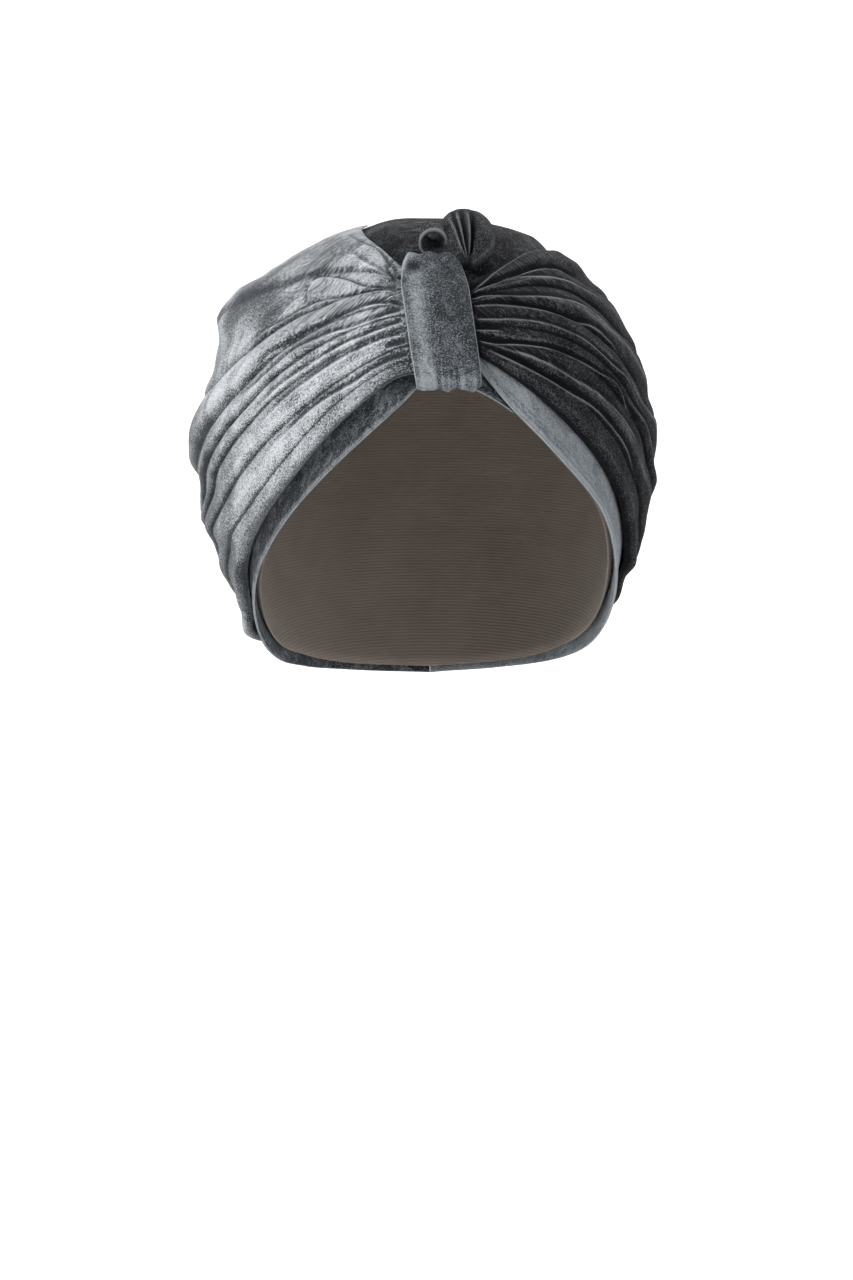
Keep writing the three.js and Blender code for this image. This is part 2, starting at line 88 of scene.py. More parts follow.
# Places round the head, in degrees from the front centre, where the line tables give an elevation.
STATIONS = np.array([0, 8, 20, 34, 50, 80, 120, 180], float)
LEFT_OPENING = (19.2, 11.1, 0.3, -12.3, -26.5, -50.5, -58, -60)
RIGHT_OPENING = (19.2, 16.9, 10.2, -2.5, -15.6, -45, -56, -60)
RIGHT_HEM = (25, 23.5, 10.2, -2.5, -15.6, -45, -56, -60)

# A crease at its stations and the fold above it: how full the crease stays, how full the fold is, and where
# across the fold its crest lies.
Fold = namedtuple("Fold", "line depth swell crest")
LEFT_FOLDS = (
    Fold((19, 17.6, 8, -6, -20.5, -45, -51, -52), 0, 0.6, 0.5),
    Fold((21.5, 20.4, 12, -1.5, -15, -35, -45, -48), 0.42, 0.8, 0.6),
    Fold((25, 24.2, 17, 6, -6.5, -27, -39, -43), 0.5, 0.86, 0.45),
    Fold((29.3, 28.8, 23.4, 14, 1.5, -18.5, -32, -37), 0.5, 0.92, 0.5),
    Fold((32.3, 32, 27.3, 18.7, 6.5, -12, -26, -32), 0.52, 1.05, 0.4),
    Fold((35.3, 35, 31.5, 24, 12.5, -4.5, -18, -25), 0.5, 1.25, 0.4),
    Fold((40, 39.8, 37.6, 32.5, 23.5, 10, -3, -12), 0.25, 0.75, 0.4),
    Fold((43, 43, 44.5, 44.5, 40, 31, 18, 3), 0.55, 1.12, 0.4),
    Fold((46, 47.5, 55.5, 62, 67.5, 73, 69, 25), 0, 0, 0.5),
)
RIGHT_FOLDS = (
    Fold((26, 24.6, 17.7, 6.8, -6.5, -34, -47, -52), 0, 0.35, 0.55),
    Fold((26.6, 26, 21.5, 14, 2, -25, -40, -46), 0.22, 0.55, 0.6),
    Fold((28, 27.6, 25, 22.3, 13.5, -9, -26, -36), 0.28, 0.66, 0.6),
    Fold((30.5, 30.2, 29.3, 26.3, 17.7, -2.5, -19, -29), 0.42, 0.7, 0.6),
    Fold((34, 34, 34.8, 32.8, 26.2, 9, -8, -20), 0.32, 0.72, 0.6),
    Fold((36.8, 36.9, 39, 40.2, 38.3, 25, 8, -9), 0.35, 0.7, 0.55),
    Fold((38.8, 39, 41.5, 45.8, 48, 42, 27, 6), 0.32, 0.86, 0.55),
    Fold((41, 42, 46, 51.5, 55, 56.5, 48, 25), 0, 0, 0.5),
)
FOLD_SHOW = (1, 1, 1, 1, 1, 0.95, 0.6, 0.3)
FULLNESS = (0.14, 0.16, 0.6, 0.95, 1, 1, 1, 0.92)
# How far each wrap stands out from its folds, or in, at the turban's side: elevation, then left and right in
# millimetres.
SIDE_ROWS = np.array([
    (-47, 3, 2), (-41, -1.4, 1.6), (-35, -2, -1.2), (-30, -1.4, 0.8), (-25, -2.2, 0), (-19, 0.6, -0.6),
    (-11, -2.4, 0.6), (-4, -0.8, -1), (5, -0.6, -0.4), (12, -0.8, -3.2), (18, -2.6, -2.6), (24, -1.2, -2),
    (30, 2.9, -3.2), (37, 1, -2.2), (45, -2.6, -4.2), (51, -3.3, -2), (57, -3, 0), (66, -2.6, 0),
])
SIDE_START, SIDE_FULL, SIDE_FADE, SIDE_END = 38.0, 74.0, 106.0, 150.0
HEM_FLARE = 2.6
HEM_FLARE_END = 0.45
# How much painted shade darkens the wraps where they gather at the band.
BAND_SHADE = 0.48
SEAM_AZIMUTH = 180.0
SEAM_GAP = 0.1
SEAM_SWELL = 0.72
SEAM_EDGE = 16.0
SEAM_BLEND_START = 115.0
SEAM_BLEND = 0.94

# A lip is the raised edge of a fold along a line of (azimuth, elevation) places: rise over it, dip under it,
# how wide each is in millimetres, and how much of its length fades out at its start and end.
Lip = namedtuple("Lip", "name rise dip above below fade_in fade_out path")
LEFT_LIPS = (
    Lip("strip", 1.3, 1.3, 7, 3.2, 0.25, 0.04,
        ((-70, 58), (-52.4, 59.1), (-40, 58.3), (-27.9, 54.9), (-20.4, 52.6), (-14.8, 48.1), (-10.3, 43))),
    Lip("swath_seam", 0.5, 0.6, 3, 2, 0.3, 0.05, ((-30, 50.5), (-25.5, 48.5), (-16.2, 44.9), (-10.2, 42.6))),
    Lip("loop", 2.1, 1.6, 4.2, 2.6, 0.1, 0.05,
        ((-34.3, 34.5), (-36.1, 37), (-36.7, 39.9), (-34.7, 42.1), (-30.6, 42.2), (-24.8, 41.3),
         (-19.2, 39.7), (-14.6, 39.6), (-9.1, 39.8))),
    Lip("first", 1.1, 1.2, 5, 2, 0.03, 0.5,
        ((-9.1, 38.4), (-14.5, 38.1), (-19.6, 37.1), (-25, 36.3), (-30.7, 35.4), (-35.6, 33.1),
         (-40.5, 30.3), (-46.1, 27.4), (-51.9, 23.7), (-58.9, 19.1), (-67.1, 14.4))),
    Lip("second", 0.8, 1.1, 2.4, 1.4, 0.03, 0.12,
        ((-7.9, 35.1), (-11.5, 34.8), (-15.4, 34.2), (-20.1, 32.2), (-24.6, 29.7), (-29.2, 27.3),
         (-32.8, 25), (-36.7, 22.8), (-39.7, 20.9), (-41.4, 18.8))),
    Lip("third", 0.7, 0.8, 2.2, 1.3, 0.03, 0.3,
        ((-7.2, 33.3), (-10.1, 32.3), (-14.7, 30.5), (-19.2, 28.5), (-23.8, 26.9), (-28.3, 24.8),
         (-33, 22.3), (-37.5, 18.4), (-42.6, 14.3), (-49, 10.9), (-55.4, 6.8))),
    Lip("fourth", 0.7, 0.8, 2.0, 1.2, 0.03, 0.3,
        ((-6.7, 30.6), (-11.5, 28.8), (-15.9, 26.7), (-20.3, 24.6), (-24.5, 21.9), (-28.8, 18.9),
         (-33.4, 15.9), (-38.3, 12), (-42.6, 8.2), (-47.9, 3.8))),
    Lip("fifth", 0.6, 0.8, 2.0, 1.2, 0.03, 0.3,
        ((-6.3, 27.7), (-11.2, 26.3), (-15.5, 24.2), (-18.9, 22.4), (-23.1, 19.8), (-27.4, 16.6),
         (-31.9, 13.4), (-36.7, 9.2), (-41.6, 4.9))),
    Lip("slit", 0.3, 1.5, 1.5, 1.6, 0.03, 0.4, ((-5.7, 25.7), (-8.8, 24.7), (-11.3, 23.8))),
    Lip("tuck", 2.0, 1.6, 2.2, 1.6, 0.08, 0.1,
        ((-9.6, 42.6), (-11.9, 44.6), (-13.2, 47), (-12.6, 49.4), (-10.6, 50.8), (-8.2, 50.6))),
    Lip("sixth", 0.7, 0.9, 2.4, 1.3, 0.03, 0.35,
        ((-4.9, 22.6), (-8.9, 21.3), (-13.1, 19.1), (-17.1, 16.1), (-21.3, 13.6), (-25.6, 10.7),
         (-30.1, 7), (-35.1, 2.7), (-39.7, -1.6))),
)
RIGHT_LIPS = (
    Lip("top", 1.0, 0.9, 4, 2.4, 0.05, 0.35,
        ((10.9, 38.9), (15.8, 41.6), (21.8, 45.3), (31.4, 49.5), (44.3, 53), (57.2, 54), (64.8, 53.1))),
    Lip("shoulder", 0.7, 0.9, 2.4, 1.6, 0.05, 0.25,
        ((11.3, 38.4), (17.6, 40.5), (22.8, 42.2), (27.1, 43.4), (35.4, 45.5), (44.5, 46.4), (51.8, 46),
         (59.8, 43.8))),
    Lip("under_shoulder", 0.6, 0.7, 2.2, 1.4, 0.2, 0.25,
        ((24, 42.2), (30.5, 42.9), (38.3, 43), (45.9, 42.6), (52.9, 41.4), (59.2, 39.6), (68, 35))),
    Lip("upper", 0.8, 1.0, 2.6, 1.6, 0.03, 0.3,
        ((10.5, 36.8), (15.6, 37.3), (20.7, 37.2), (26, 37), (32.3, 36.8), (38.4, 36.3), (44.6, 35.2),
         (50.8, 33.1), (56.9, 29.8), (62.6, 26.7), (70, 21))),
    Lip("upper_twin", 0.6, 0.8, 1.8, 1.2, 0.03, 0.3,
        ((11.1, 34.7), (17.9, 34.9), (24.8, 34.2), (31, 33.2), (36.1, 31.9), (40.9, 30.5), (47.2, 29.2),
         (51.9, 27), (56.5, 23.5), (62, 18))),
    Lip("middle", 0.8, 0.9, 2.8, 1.6, 0.03, 0.3,
        ((11.5, 31.4), (17, 31.1), (22.7, 30.8), (28.4, 30), (34.2, 28.4), (40.2, 26), (45.2, 23),
         (50.8, 19.6), (56.4, 16.7), (61, 12.8), (68, 6))),
    Lip("slit", 0.5, 1.6, 1.4, 1.5, 0.03, 0.4, ((11.5, 28.7), (15, 28.6), (18.6, 28.2))),
    Lip("lower", 1.0, 1.9, 3.2, 2.0, 0.03, 0.3,
        ((11.7, 26.1), (15.7, 25.3), (21.2, 25), (29.3, 23.9), (35, 22.2), (39.9, 20.1), (44.2, 18),
         (49.6, 15.6), (55.3, 10.1), (60.6, 5.5), (68, -1))),
    Lip("lower_twin", 0.5, 0.6, 1.8, 1.2, 0.15, 0.3,
        ((17.4, 24), (22.4, 22.7), (26.6, 21), (30.9, 19), (35.4, 16.5), (41.5, 13.7), (47.2, 10.4),
         (53.4, 5.8), (60.2, 0.6), (65.7, -4))),
    Lip("lowest", 0.8, 1.3, 2.6, 1.7, 0.1, 0.3,
        ((12.3, 24.6), (19.6, 21.3), (27.7, 17.2), (34.3, 13.7), (41.8, 9.6), (47.7, 5.1), (54, 0),
         (58.4, -5), (66, -14))),
)

# Patches that turn the pile lighter or darker: azimuth, elevation, radius in millimetres, and how light it
# turns.
Patch = namedtuple("Patch", "azimuth elevation radius tone")
# The dark patches towards the far left side are painted shade where the wrap turns from the light; the
# others are crushed pile.
LEFT_PATCHES = (
    Patch(-24, 45, 12, 0.34),
    Patch(-35, 50, 14, -0.36),
    Patch(-52, 52, 14, -0.26),
    Patch(-45, 40, 10, 0.14),
    Patch(-58, 40, 12, -0.3),
    Patch(-49, 32, 9, -0.6),
    Patch(-66, 33, 11, -0.46),
    Patch(-72, 18, 14, -0.28),
    Patch(-80, 0, 22, -0.44),
    Patch(-76, -20, 24, -0.5),
    Patch(-62, -32, 18, -0.4),
    Patch(-60, -8, 13, -0.32),
    Patch(-35, 5, 14, 0.2),
    Patch(-50, 14, 14, 0.24),
    Patch(-20, 57, 10, 0.15),
)

# The front band: its sizes and its sections, as in the part.
BAND_HALF_WIDTH = 12.7
BAND_TOP_ELEVATION = 48.8
BAND_BOTTOM_ELEVATION = 16.4
BAND_TOP_AZIMUTH = 0.2
BAND_BOTTOM_AZIMUTH = 4.2
BAND_TUCK = 6.5
BAND_SIDE_SHARE = 0.45
# Each section: how far down the band, its height and width as shares, and how far the cloth turns.
BAND_SECTIONS = np.array([
    (-0.02, 0.76, 0.66, -85), (-0.018, 0.92, 0.67, -55), (0.012, 1, 0.7, -15), (0.1, 1, 0.86, 0),
    (0.3, 1, 1, 0), (0.5, 1, 1, 0), (0.66, 1, 1, 0), (0.8, 1, 1, 0), (0.92, 1, 0.985, 0),
    (0.985, 1, 0.97, 20), (1.018, 0.88, 0.965, 70), (1.02, 0.62, 0.96, 95),
])

# The puffed gather on the crown: where it springs from and points to, its half widths, height and rim.
Lobe = namedtuple("Lobe", "root tip root_half_width half_width height rim")
PUFF = Lobe((13.6, -65), (13.1, -22), 1.5, 10.6, 9.2, 1.4)
# Its pleats across: the place from edge to edge, and how high the cloth stands there as a share.
PUFF_PLEATS = np.array([
    (-1, 0.9), (-0.85, 0.96), (-0.62, 1.04), (-0.5, 0.9), (-0.44, 0.82), (-0.36, 1.04), (-0.26, 0.84),
    (-0.18, 0.8), (-0.06, 1.12), (0.03, 1.06), (0.1, 0.68), (0.18, 0.64), (0.3, 1.0), (0.45, 1.12),
    (0.68, 1.1), (0.85, 0.98), (1, 0.9),
])
# The painted highlights along the pleat edges, and the painted shade in the hollows beside them, across the
# gather.
PUFF_EDGES = ((-0.62, 0.4), (-0.34, 0.5), (0.0, 0.42), (0.9, 0.3))
PUFF_HOLLOWS = (-0.46, -0.18, 0.13)
# The small rolled fold: its middle and length on the crown, its radii where the roll starts and ends, its
# wall, how far it turns in degrees, and how high it stands.
Roll = namedtuple("Roll", "x front back start_radius end_radius wall turn rise")
CURL = Roll(1.7, -58.4, -49.2, 4.9, 7.1, 1.4, 400, 2.7)

# The crown panel's edge and back.
CROWN_DROP = 0.5
CROWN_TUCK = 10.0
CROWN_CLEAR = 2.5
CROWN_RISE = 12.0
CROWN_BACK_RISE = 4.5
BACK_START = 95.0
BACK_END = 170.0

# The studio in metres: its wall, and how the wall bends into the floor.
WALL_RADIUS = 3.2
WALL_HEIGHT = 3.6
WALL_BEND = 1.6

# The frame in pixels, where the turban's middle stands in it, and that middle's height in metres.
FRAME_SIZE = (853, 1280)
MIDDLE_IN_FRAME = (430, 435)
MIDDLE_HEIGHT = -0.081
SENSOR = 36.0


# Forms
def mix(a, b, share):
    """The value that lies this share of the way from a to b."""
    return a + (b - a) * share


def smooth_step(low, high, value):
    share = np.clip((np.asarray(value, float) - low) / (high - low), 0, 1)
    return share * share * (3 - 2 * share)


def along_stations(values, place):
    """A smooth curve through one value at each station."""
    place = np.asarray(place, float)
    values = np.broadcast_to(np.asarray(values, float), place.shape + (len(STATIONS),))
    x = np.clip(place, STATIONS[0], STATIONS[-1])
    last = len(STATIONS) - 1
    k = np.clip(np.searchsorted(STATIONS, x, side="left") - 1, 0, last - 1)

    def pick(i):
        return np.take_along_axis(values, i[..., None], -1)[..., 0]

    def slope(i):
        before, after = np.maximum(0, i - 1), np.minimum(last, i + 1)
        return (pick(after) - pick(before)) / (STATIONS[after] - STATIONS[before])

    span = STATIONS[k + 1] - STATIONS[k]
    u = (x - STATIONS[k]) / span
    bend = u * u * (3 - 2 * u)
    pull = u * (1 - u) ** 2 * span * slope(k) + u * u * (u - 1) * span * slope(k + 1)
    return mix(pick(k), pick(k + 1), bend) + pull


def direction(azimuth, elevation):
    """Unit directions from the centre. Azimuth 0 is the front, and the viewer's right is positive."""
    azimuth, elevation = np.broadcast_arrays(np.radians(azimuth), np.radians(elevation))
    flat = np.cos(elevation)
    return np.stack([np.sin(azimuth) * flat, -np.cos(azimuth) * flat, np.sin(elevation)], -1)


def form_radius(form, way):
    """How far a rounded form reaches from the centre along each direction."""
    depth = np.where(way[..., 1] < 0, form.front, form.back)
    height = np.where(way[..., 2] > 0, form.up, form.down)
    total = (
        np.abs(way[..., 0] / form.half_width) ** ROUNDNESS
        + np.abs(way[..., 1] / depth) ** ROUNDNESS
        + np.abs(way[..., 2] / height) ** ROUNDNESS
    )
    return total ** (-1 / ROUNDNESS)


def point_at(azimuth, elevation, lift):
    """Points that stand this far out from the head hollow."""
    way = direction(azimuth, elevation)
    return way * (form_radius(HOLLOW, way) + lift)[..., None] + CENTRE


def room_at(azimuth, elevation):
    """How much room there is between the head hollow and the outside form."""
    way = direction(azimuth, elevation)
    return form_radius(OUTSIDE, way) - form_radius(HOLLOW, way)


def degrees_for(length, azimuth, elevation):
    """The turn at the centre that a length on the head hollow takes up."""
    return np.degrees(length / form_radius(HOLLOW, direction(azimuth, elevation)))


def drift(a, b, seed):
    """A slow wander between about -1 and 1, the same on each run."""
    return (
        np.sin(a * 1.0 + b * 0.7 + seed)
        + 0.5 * np.sin(a * 2.3 - b * 1.1 + seed * 2.1)
        + 0.35 * np.sin(a * 0.6 + b * 2.9 + seed * 3.7)
    ) / 1.85


def lay_down(front, side, around):
    """A height at the front that eases to another one at the side."""
    return mix(front, side, smooth_step(24, 60, around))


def crown_lift(around):
    """How much higher the cloth lies towards the back."""
    return CROWN_BACK_RISE * smooth_step(BACK_START, BACK_END, np.abs(around))


def at_side(around):
    """1 at the turban's side, falling to 0 at the front and the back."""
    return smooth_step(SIDE_START, SIDE_FULL, around) * (1 - smooth_step(SIDE_FADE, SIDE_END, around))


def side_rise(side, elevation):
    """How far a wrap stands out from its folds at the turban's side."""
    places, values = SIDE_ROWS[:, 0], SIDE_ROWS[:, 1 if side < 0 else 2]
    fine = np.linspace(places[0], places[-1], 400)
    k = np.clip(np.searchsorted(places, fine, side="right") - 1, 0, len(places) - 2)
    share = (fine - places[k]) / (places[k + 1] - places[k])
    smooth = mix(values[k], values[k + 1], smooth_step(0, 1, share))
    return np.interp(elevation, fine, smooth)


def spline(path, count):
    """A smooth open curve through the path's places."""
    path = np.array(path, float)
    padded = np.vstack([2 * path[0] - path[1], path, 2 * path[-1] - path[-2]])
    t = np.linspace(0, len(path) - 1, count)
    k = np.minimum(t.astype(int), len(path) - 2)
    u = (t - k)[:, None]
    p0, p1, p2, p3 = (padded[k + i] for i in range(4))
    return 0.5 * (
        2 * p1 + (p2 - p0) * u + (2 * p0 - 5 * p1 + 4 * p2 - p3) * u**2 + (3 * p1 - p0 - 3 * p2 + p3) * u**3
    )


def lip_height(lip, azimuth, elevation):
    """How far a lip lifts the cloth, and the painted highlight on its edge and painted shade in its hollow.
    """
    line = spline(lip.path, 60)
    ways = direction(azimuth, elevation) * BALL_RADIUS
    knots = direction(line[:, 0], line[:, 1]) * BALL_RADIUS
    flat = ways.reshape(-1, 3)
    best = np.full(len(flat), 1e9)
    signed = np.zeros(len(flat))
    along = np.zeros(len(flat))
    near = np.flatnonzero(np.linalg.norm(flat - knots.mean(0), axis=1) < 130)
    for i in range(len(knots) - 1):
        a, b = knots[i], knots[i + 1]
        d = b - a
        rest = flat[near] - a
        t = np.clip(rest @ d / (d @ d), 0, 1)
        away = rest - t[:, None] * d
        far = np.linalg.norm(away, axis=1)
        up = np.cross(a / BALL_RADIUS, d / np.linalg.norm(d))
        side = np.sign(away @ up)
        closer = far < best[near]
        index = near[closer]
        best[index] = far[closer]
        signed[index] = (side * far)[closer]
        along[index] = (i + t[closer]) / (len(knots) - 1)
    if lip.path[-1][0] > lip.path[0][0]:
        signed = -signed
    shown = smooth_step(0, lip.fade_in, along) * (1 - smooth_step(1 - lip.fade_out, 1, along))
    end = np.where((along <= 0) | (along >= 1), np.exp(-((best / 1.5) ** 2)), 1)
    shown = shown * end
    over = 1 / (1 + np.exp(-signed / LIP_SHARPNESS))
    rise = lip.rise * np.exp(-np.maximum(signed, 0) / lip.above) * over
    dip = lip.dip * np.exp(-np.maximum(-signed, 0) / lip.below) * (1 - over)
    # A painted highlight along the lip's edge, and painted shade in the hollow under it.
    edge = np.exp(-(((signed - 0.35) / 0.5) ** 2)) * shown
    hollow = np.exp(-(((signed + 1.0) / 1.0) ** 2)) * shown * min(1, lip.dip)
    shape = np.shape(azimuth)
    return ((rise - dip) * shown).reshape(shape), edge.reshape(shape), hollow.reshape(shape)


# Meshes
def spans(points, axis):
    """Distances walked along one axis of a grid of points, from its first line."""
    steps = np.linalg.norm(np.diff(points, axis=axis), axis=-1)
    start = np.zeros_like(np.take(steps, [0], axis))
    return np.concatenate([start, np.cumsum(steps, axis=axis)], axis)


def cloth_wall(name, outer, inner, marks=None, ring=False, pole=False, uv=None):
    """A closed wall between two grids of points, with UVs in cloth lengths and the marks as attributes."""
    rows, columns = outer.shape[:2]
    if uv is None:
        middle = columns // 2
        across = spans(outer, 0)
        along = spans(outer, 1)
        along = along - along[:, middle : middle + 1]
        uv = np.stack([along, across], -1) / UV_UNIT
    points = np.concatenate([outer.reshape(-1, 3), inner.reshape(-1, 3)]) * MM
    uvs = np.concatenate([uv.reshape(-1, 2), uv.reshape(-1, 2) + INNER_UV_SHIFT])
    size = rows * columns

    def at(layer, row, column):
        return layer * size + row * columns + column % columns

    quads = []

    def quad(a, b, c, d):
        quads.append(np.stack(np.broadcast_arrays(a, b, c, d), -1).reshape(-1, 4))

    i, j = np.meshgrid(np.arange(rows - 1), np.arange(columns if ring else columns - 1), indexing="ij")
    quad(at(0, i, j), at(0, i, j + 1), at(0, i + 1, j + 1), at(0, i + 1, j))
    quad(at(1, i, j), at(1, i + 1, j), at(1, i + 1, j + 1), at(1, i, j + 1))
    j = np.arange(columns if ring else columns - 1)
    quad(at(0, 0, j), at(1, 0, j), at(1, 0, j + 1), at(0, 0, j + 1))
    end = rows - 1
    if not pole:
        quad(at(0, end, j), at(0, end, j + 1), at(1, end, j + 1), at(1, end, j))
    if not ring:
        i = np.arange(rows - 1)
        last = columns - 1
        quad(at(0, i, 0), at(0, i + 1, 0), at(1, i + 1, 0), at(1, i, 0))
        quad(at(0, i, last), at(1, i, last), at(1, i + 1, last), at(0, i + 1, last))
    faces = np.concatenate(quads).tolist()
    if pole:
        faces.append([at(0, end, k) for k in range(columns)])
        faces.append([at(1, end, k) for k in reversed(range(columns))])
    a, b, c = (points[[f[k] for f in faces]] for k in (0, 1, 2))
    volume = np.einsum("ij,ij->i", a, np.cross(b, c)).sum()
    if volume < 0:
        faces = [f[::-1] for f in faces]
    mesh = bpy.data.meshes.new(name)
    mesh.from_pydata(points.tolist(), [], faces)
    mesh.update()
    corner = np.zeros(len(mesh.loops), int)
    mesh.loops.foreach_get("vertex_index", corner)
    layer = mesh.uv_layers.new(name="Cloth")
    layer.data.foreach_set("uv", uvs[corner].astype(np.float32).ravel())
    # The marks on the outer face: painted highlights on edges, painted shade in hollows, and tones with
    # painted light.
    for key in ("edge", "hollow", "tone_and_painted_light"):
        values = (marks or {}).get(key)
        values = np.zeros(size) if values is None else np.broadcast_to(values, (rows, columns)).reshape(-1)
        attribute = mesh.attributes.new(key, "FLOAT", "POINT")
        attribute.data.foreach_set("value", np.concatenate([values, values * 0]).astype(np.float32))
    mesh.polygons.foreach_set("use_smooth", np.ones(len(mesh.polygons), bool))
    piece = bpy.data.objects.new(name, mesh)
    bpy.context.scene.collection.objects.link(piece)
    return piece


def dress(piece, material, node):
    """Gives a piece its finish, hangs it under the root body and hides the part it stands for."""
    piece.data.materials.append(material)
    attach(piece, "root")
    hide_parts(node)


# The wraps
def seam_fullness(elevation):
    """How full the cloth lies at the back seam, where the folds have faded out."""
    low, high = LEFT_FOLDS[0].line[-1], LEFT_FOLDS[-1].line[-1]
    rise = smooth_step(low, low + SEAM_EDGE, elevation)
    fall = 1 - smooth_step(high - SEAM_EDGE, high, elevation)
    return SEAM_SWELL * (rise * fall)


def band_azimuth(elevation, across):
    """Where a place across the slanting front band lies round the head."""
    down = (elevation - BAND_TOP_ELEVATION) / (BAND_BOTTOM_ELEVATION - BAND_TOP_ELEVATION)
    middle = mix(BAND_TOP_AZIMUTH, BAND_BOTTOM_AZIMUTH, down)
    reach = form_radius(OUTSIDE, direction(middle, elevation)) * np.cos(np.radians(elevation))
    return middle + np.degrees(across / reach)


def fold_section(share, crest):
    """0 at the creases and 1 at the crest, steep below it and easing off above it."""
    climb = np.sin(np.clip(share / crest, 0, 1) * np.pi / 2) ** 0.6
    fall = np.cos(np.clip((share - crest) / (1 - crest), 0, 1) * np.pi / 2) ** 0.7
    return np.where(share < crest, climb, fall)


def patch_tone_and_shade(patches, azimuth, elevation):
    """How much lighter or darker the patches, with their pile tones and painted shade, turn the pile at each
    place.
    """
    ways = direction(azimuth, elevation) * BALL_RADIUS
    tone_and_painted_light = np.zeros(ways.shape[:-1])
    for patch in patches:
        place = direction(patch.azimuth, patch.elevation) * BALL_RADIUS
        tone_and_painted_light += patch.tone * np.exp(-((np.linalg.norm(ways - place, axis=-1) / patch.radius) ** 2))
    return tone_and_painted_light


def wrap_surface(folds, side, lips, patches, sizes, ease, rows_per_fold, columns):
    """Outer and inner grids of one pleated wrap, with its marks."""
    # Rows run along the folds, closer together near each crease. Columns run from the band to the back seam.
    count = len(folds)
    table = np.array([f.line for f in folds], float)
    even = np.linspace(0, 1, rows_per_fold + 1)[:-1]
    spread = mix(even, 0.5 - 0.5 * np.cos(np.pi * even), 0.5)
    r = np.concatenate([k + spread for k in range(count - 1)] + [[count - 1.0]])
    k = np.minimum(r.astype(int), count - 2)
    share = (r - k)[:, None]
    t = np.linspace(0, 1, columns)[None, :]
    start_elevation = mix(table[k, 0], table[k + 1, 0], share[:, 0])
    band_edge = side * band_azimuth(start_elevation, side * (BAND_HALF_WIDTH - BAND_TUCK))
    around = mix(band_edge[:, None], SEAM_AZIMUTH, mix(t, t * t, 0.62))
    shape = around.shape
    low = along_stations(table[k][:, None, :], around)
    high = along_stations(table[k + 1][:, None, :], around)
    inside = (k > 0)[:, None], (k < count - 2)[:, None]
    slide = smooth_step(8, 30, around) * 0.6
    low = low + np.where(inside[0], slide * drift(around / 16, k[:, None] * 1.9, 0.4), 0)
    high = high + np.where(inside[1], slide * drift(around / 16, (k[:, None] + 1) * 1.9, 0.4), 0)
    elevation = mix(low, high, share)
    seam_shift = np.degrees(SEAM_GAP / 2 / form_radius(HOLLOW, direction(SEAM_AZIMUTH, elevation)))
    seam_shift = seam_shift / np.cos(np.radians(elevation))
    azimuth = side * np.minimum(around, SEAM_AZIMUTH - seam_shift)
    # The cloth sinks at each crease and swells to the fold's crest. At the back seam it lies plain.
    show = along_stations(FOLD_SHOW, around)
    depth = np.array([mix(f.depth, f.swell, ease) if f.depth else 0 for f in folds])
    swell = np.array([f.swell for f in folds])[k][:, None]
    crest = np.maximum(np.array([f.crest for f in folds])[k][:, None] - 0.17, 0.2)
    plain = mix(depth[k], depth[k + 1], r - k)[:, None]
    edge_row = ((k == 0) | (r >= count - 2))[:, None]
    crease = np.where(edge_row, plain, mix(swell, plain, show))
    section = fold_section(share, crest)
    folded = mix(crease, swell, section) * along_stations(FULLNESS, around)
    seam = smooth_step(SEAM_BLEND_START, SEAM_AZIMUTH, around) * SEAM_BLEND
    full = mix(folded, seam_fullness(elevation), seam)
    # It rests on the hem below and on the crown panel above.
    hem_side = lay_down(WRAP_BASE_AT_BAND, WRAP_BASE_AT_SIDE, around)
    height = (r / (count - 1))[:, None]
    base = mix(hem_side, WRAP_BASE_AT_CROWN + crown_lift(around), smooth_step(0.5, 1, height))
    room = np.maximum(LEAST_FOLD_ROOM, room_at(azimuth, elevation) - hem_side - WRAP_THICKNESS) + FOLD_RISE
    body = np.maximum(0, full * room + side_rise(side, elevation) * at_side(around))
    lift = base + body
    # Fine relief, and the marks of painted highlights on the fold edges and painted shade in the hollows.
    free = smooth_step(0, 0.06, height) * (1 - smooth_step(0.97, 1, height))
    extra = np.zeros(shape)
    edge = np.exp(-(((share - crest) / 0.09) ** 2)) * show * 0.35 * np.where(edge_row, 0.3, 1)
    hollow = (np.exp(-((share / 0.07) ** 2)) + np.exp(-(((1 - share) / 0.05) ** 2))) * show * 0.7
    hollow = hollow * (1 - seam) * np.where(edge_row & (share > 0.5), 0, 1)
    edge = edge * (1 - seam)
    for lip in lips:
        bump, painted_highlight, dark = lip_height(lip, azimuth, elevation)
        extra += bump * sizes.fold_rise
        edge = np.maximum(edge, painted_highlight)
        hollow = np.maximum(hollow, dark)
    edge = edge * (0.68 + 0.32 * drift(around / 8, elevation / 5, 3.0))
    ripple = 0.3 * drift(around / 5, elevation / 7, 2.2) + 0.1 * drift(around / 1.9, elevation / 2.3, 5.1)
    extra += ripple * smooth_step(16, 44, around)
    extra = extra * free
    least = 0.15 - body
    inner_lift = lift + np.maximum(np.minimum(extra, 0) * 0.9, least)
    lift = lift + np.maximum(extra, least)
    # Painted shade darkens the wraps next to the band; the patches add their tones and painted shade.
    tone_and_painted_light = -BAND_SHADE * (1 - smooth_step(5, 19, around)) * (1 - 0.7 * smooth_step(0.8, 0.95, height))
    tone_and_painted_light += patch_tone_and_shade(patches, azimuth, elevation)
    rim = np.sqrt(np.clip(1 - (np.clip(height - 0.965, 0, 1) / 0.036) ** 2, 0.03, 1))
    outer = point_at(azimuth, elevation, lift + WRAP_THICKNESS * rim)
    inner = point_at(azimuth, elevation, inner_lift)
    return outer, inner, {"edge": edge, "hollow": hollow, "tone_and_painted_light": tone_and_painted_light}


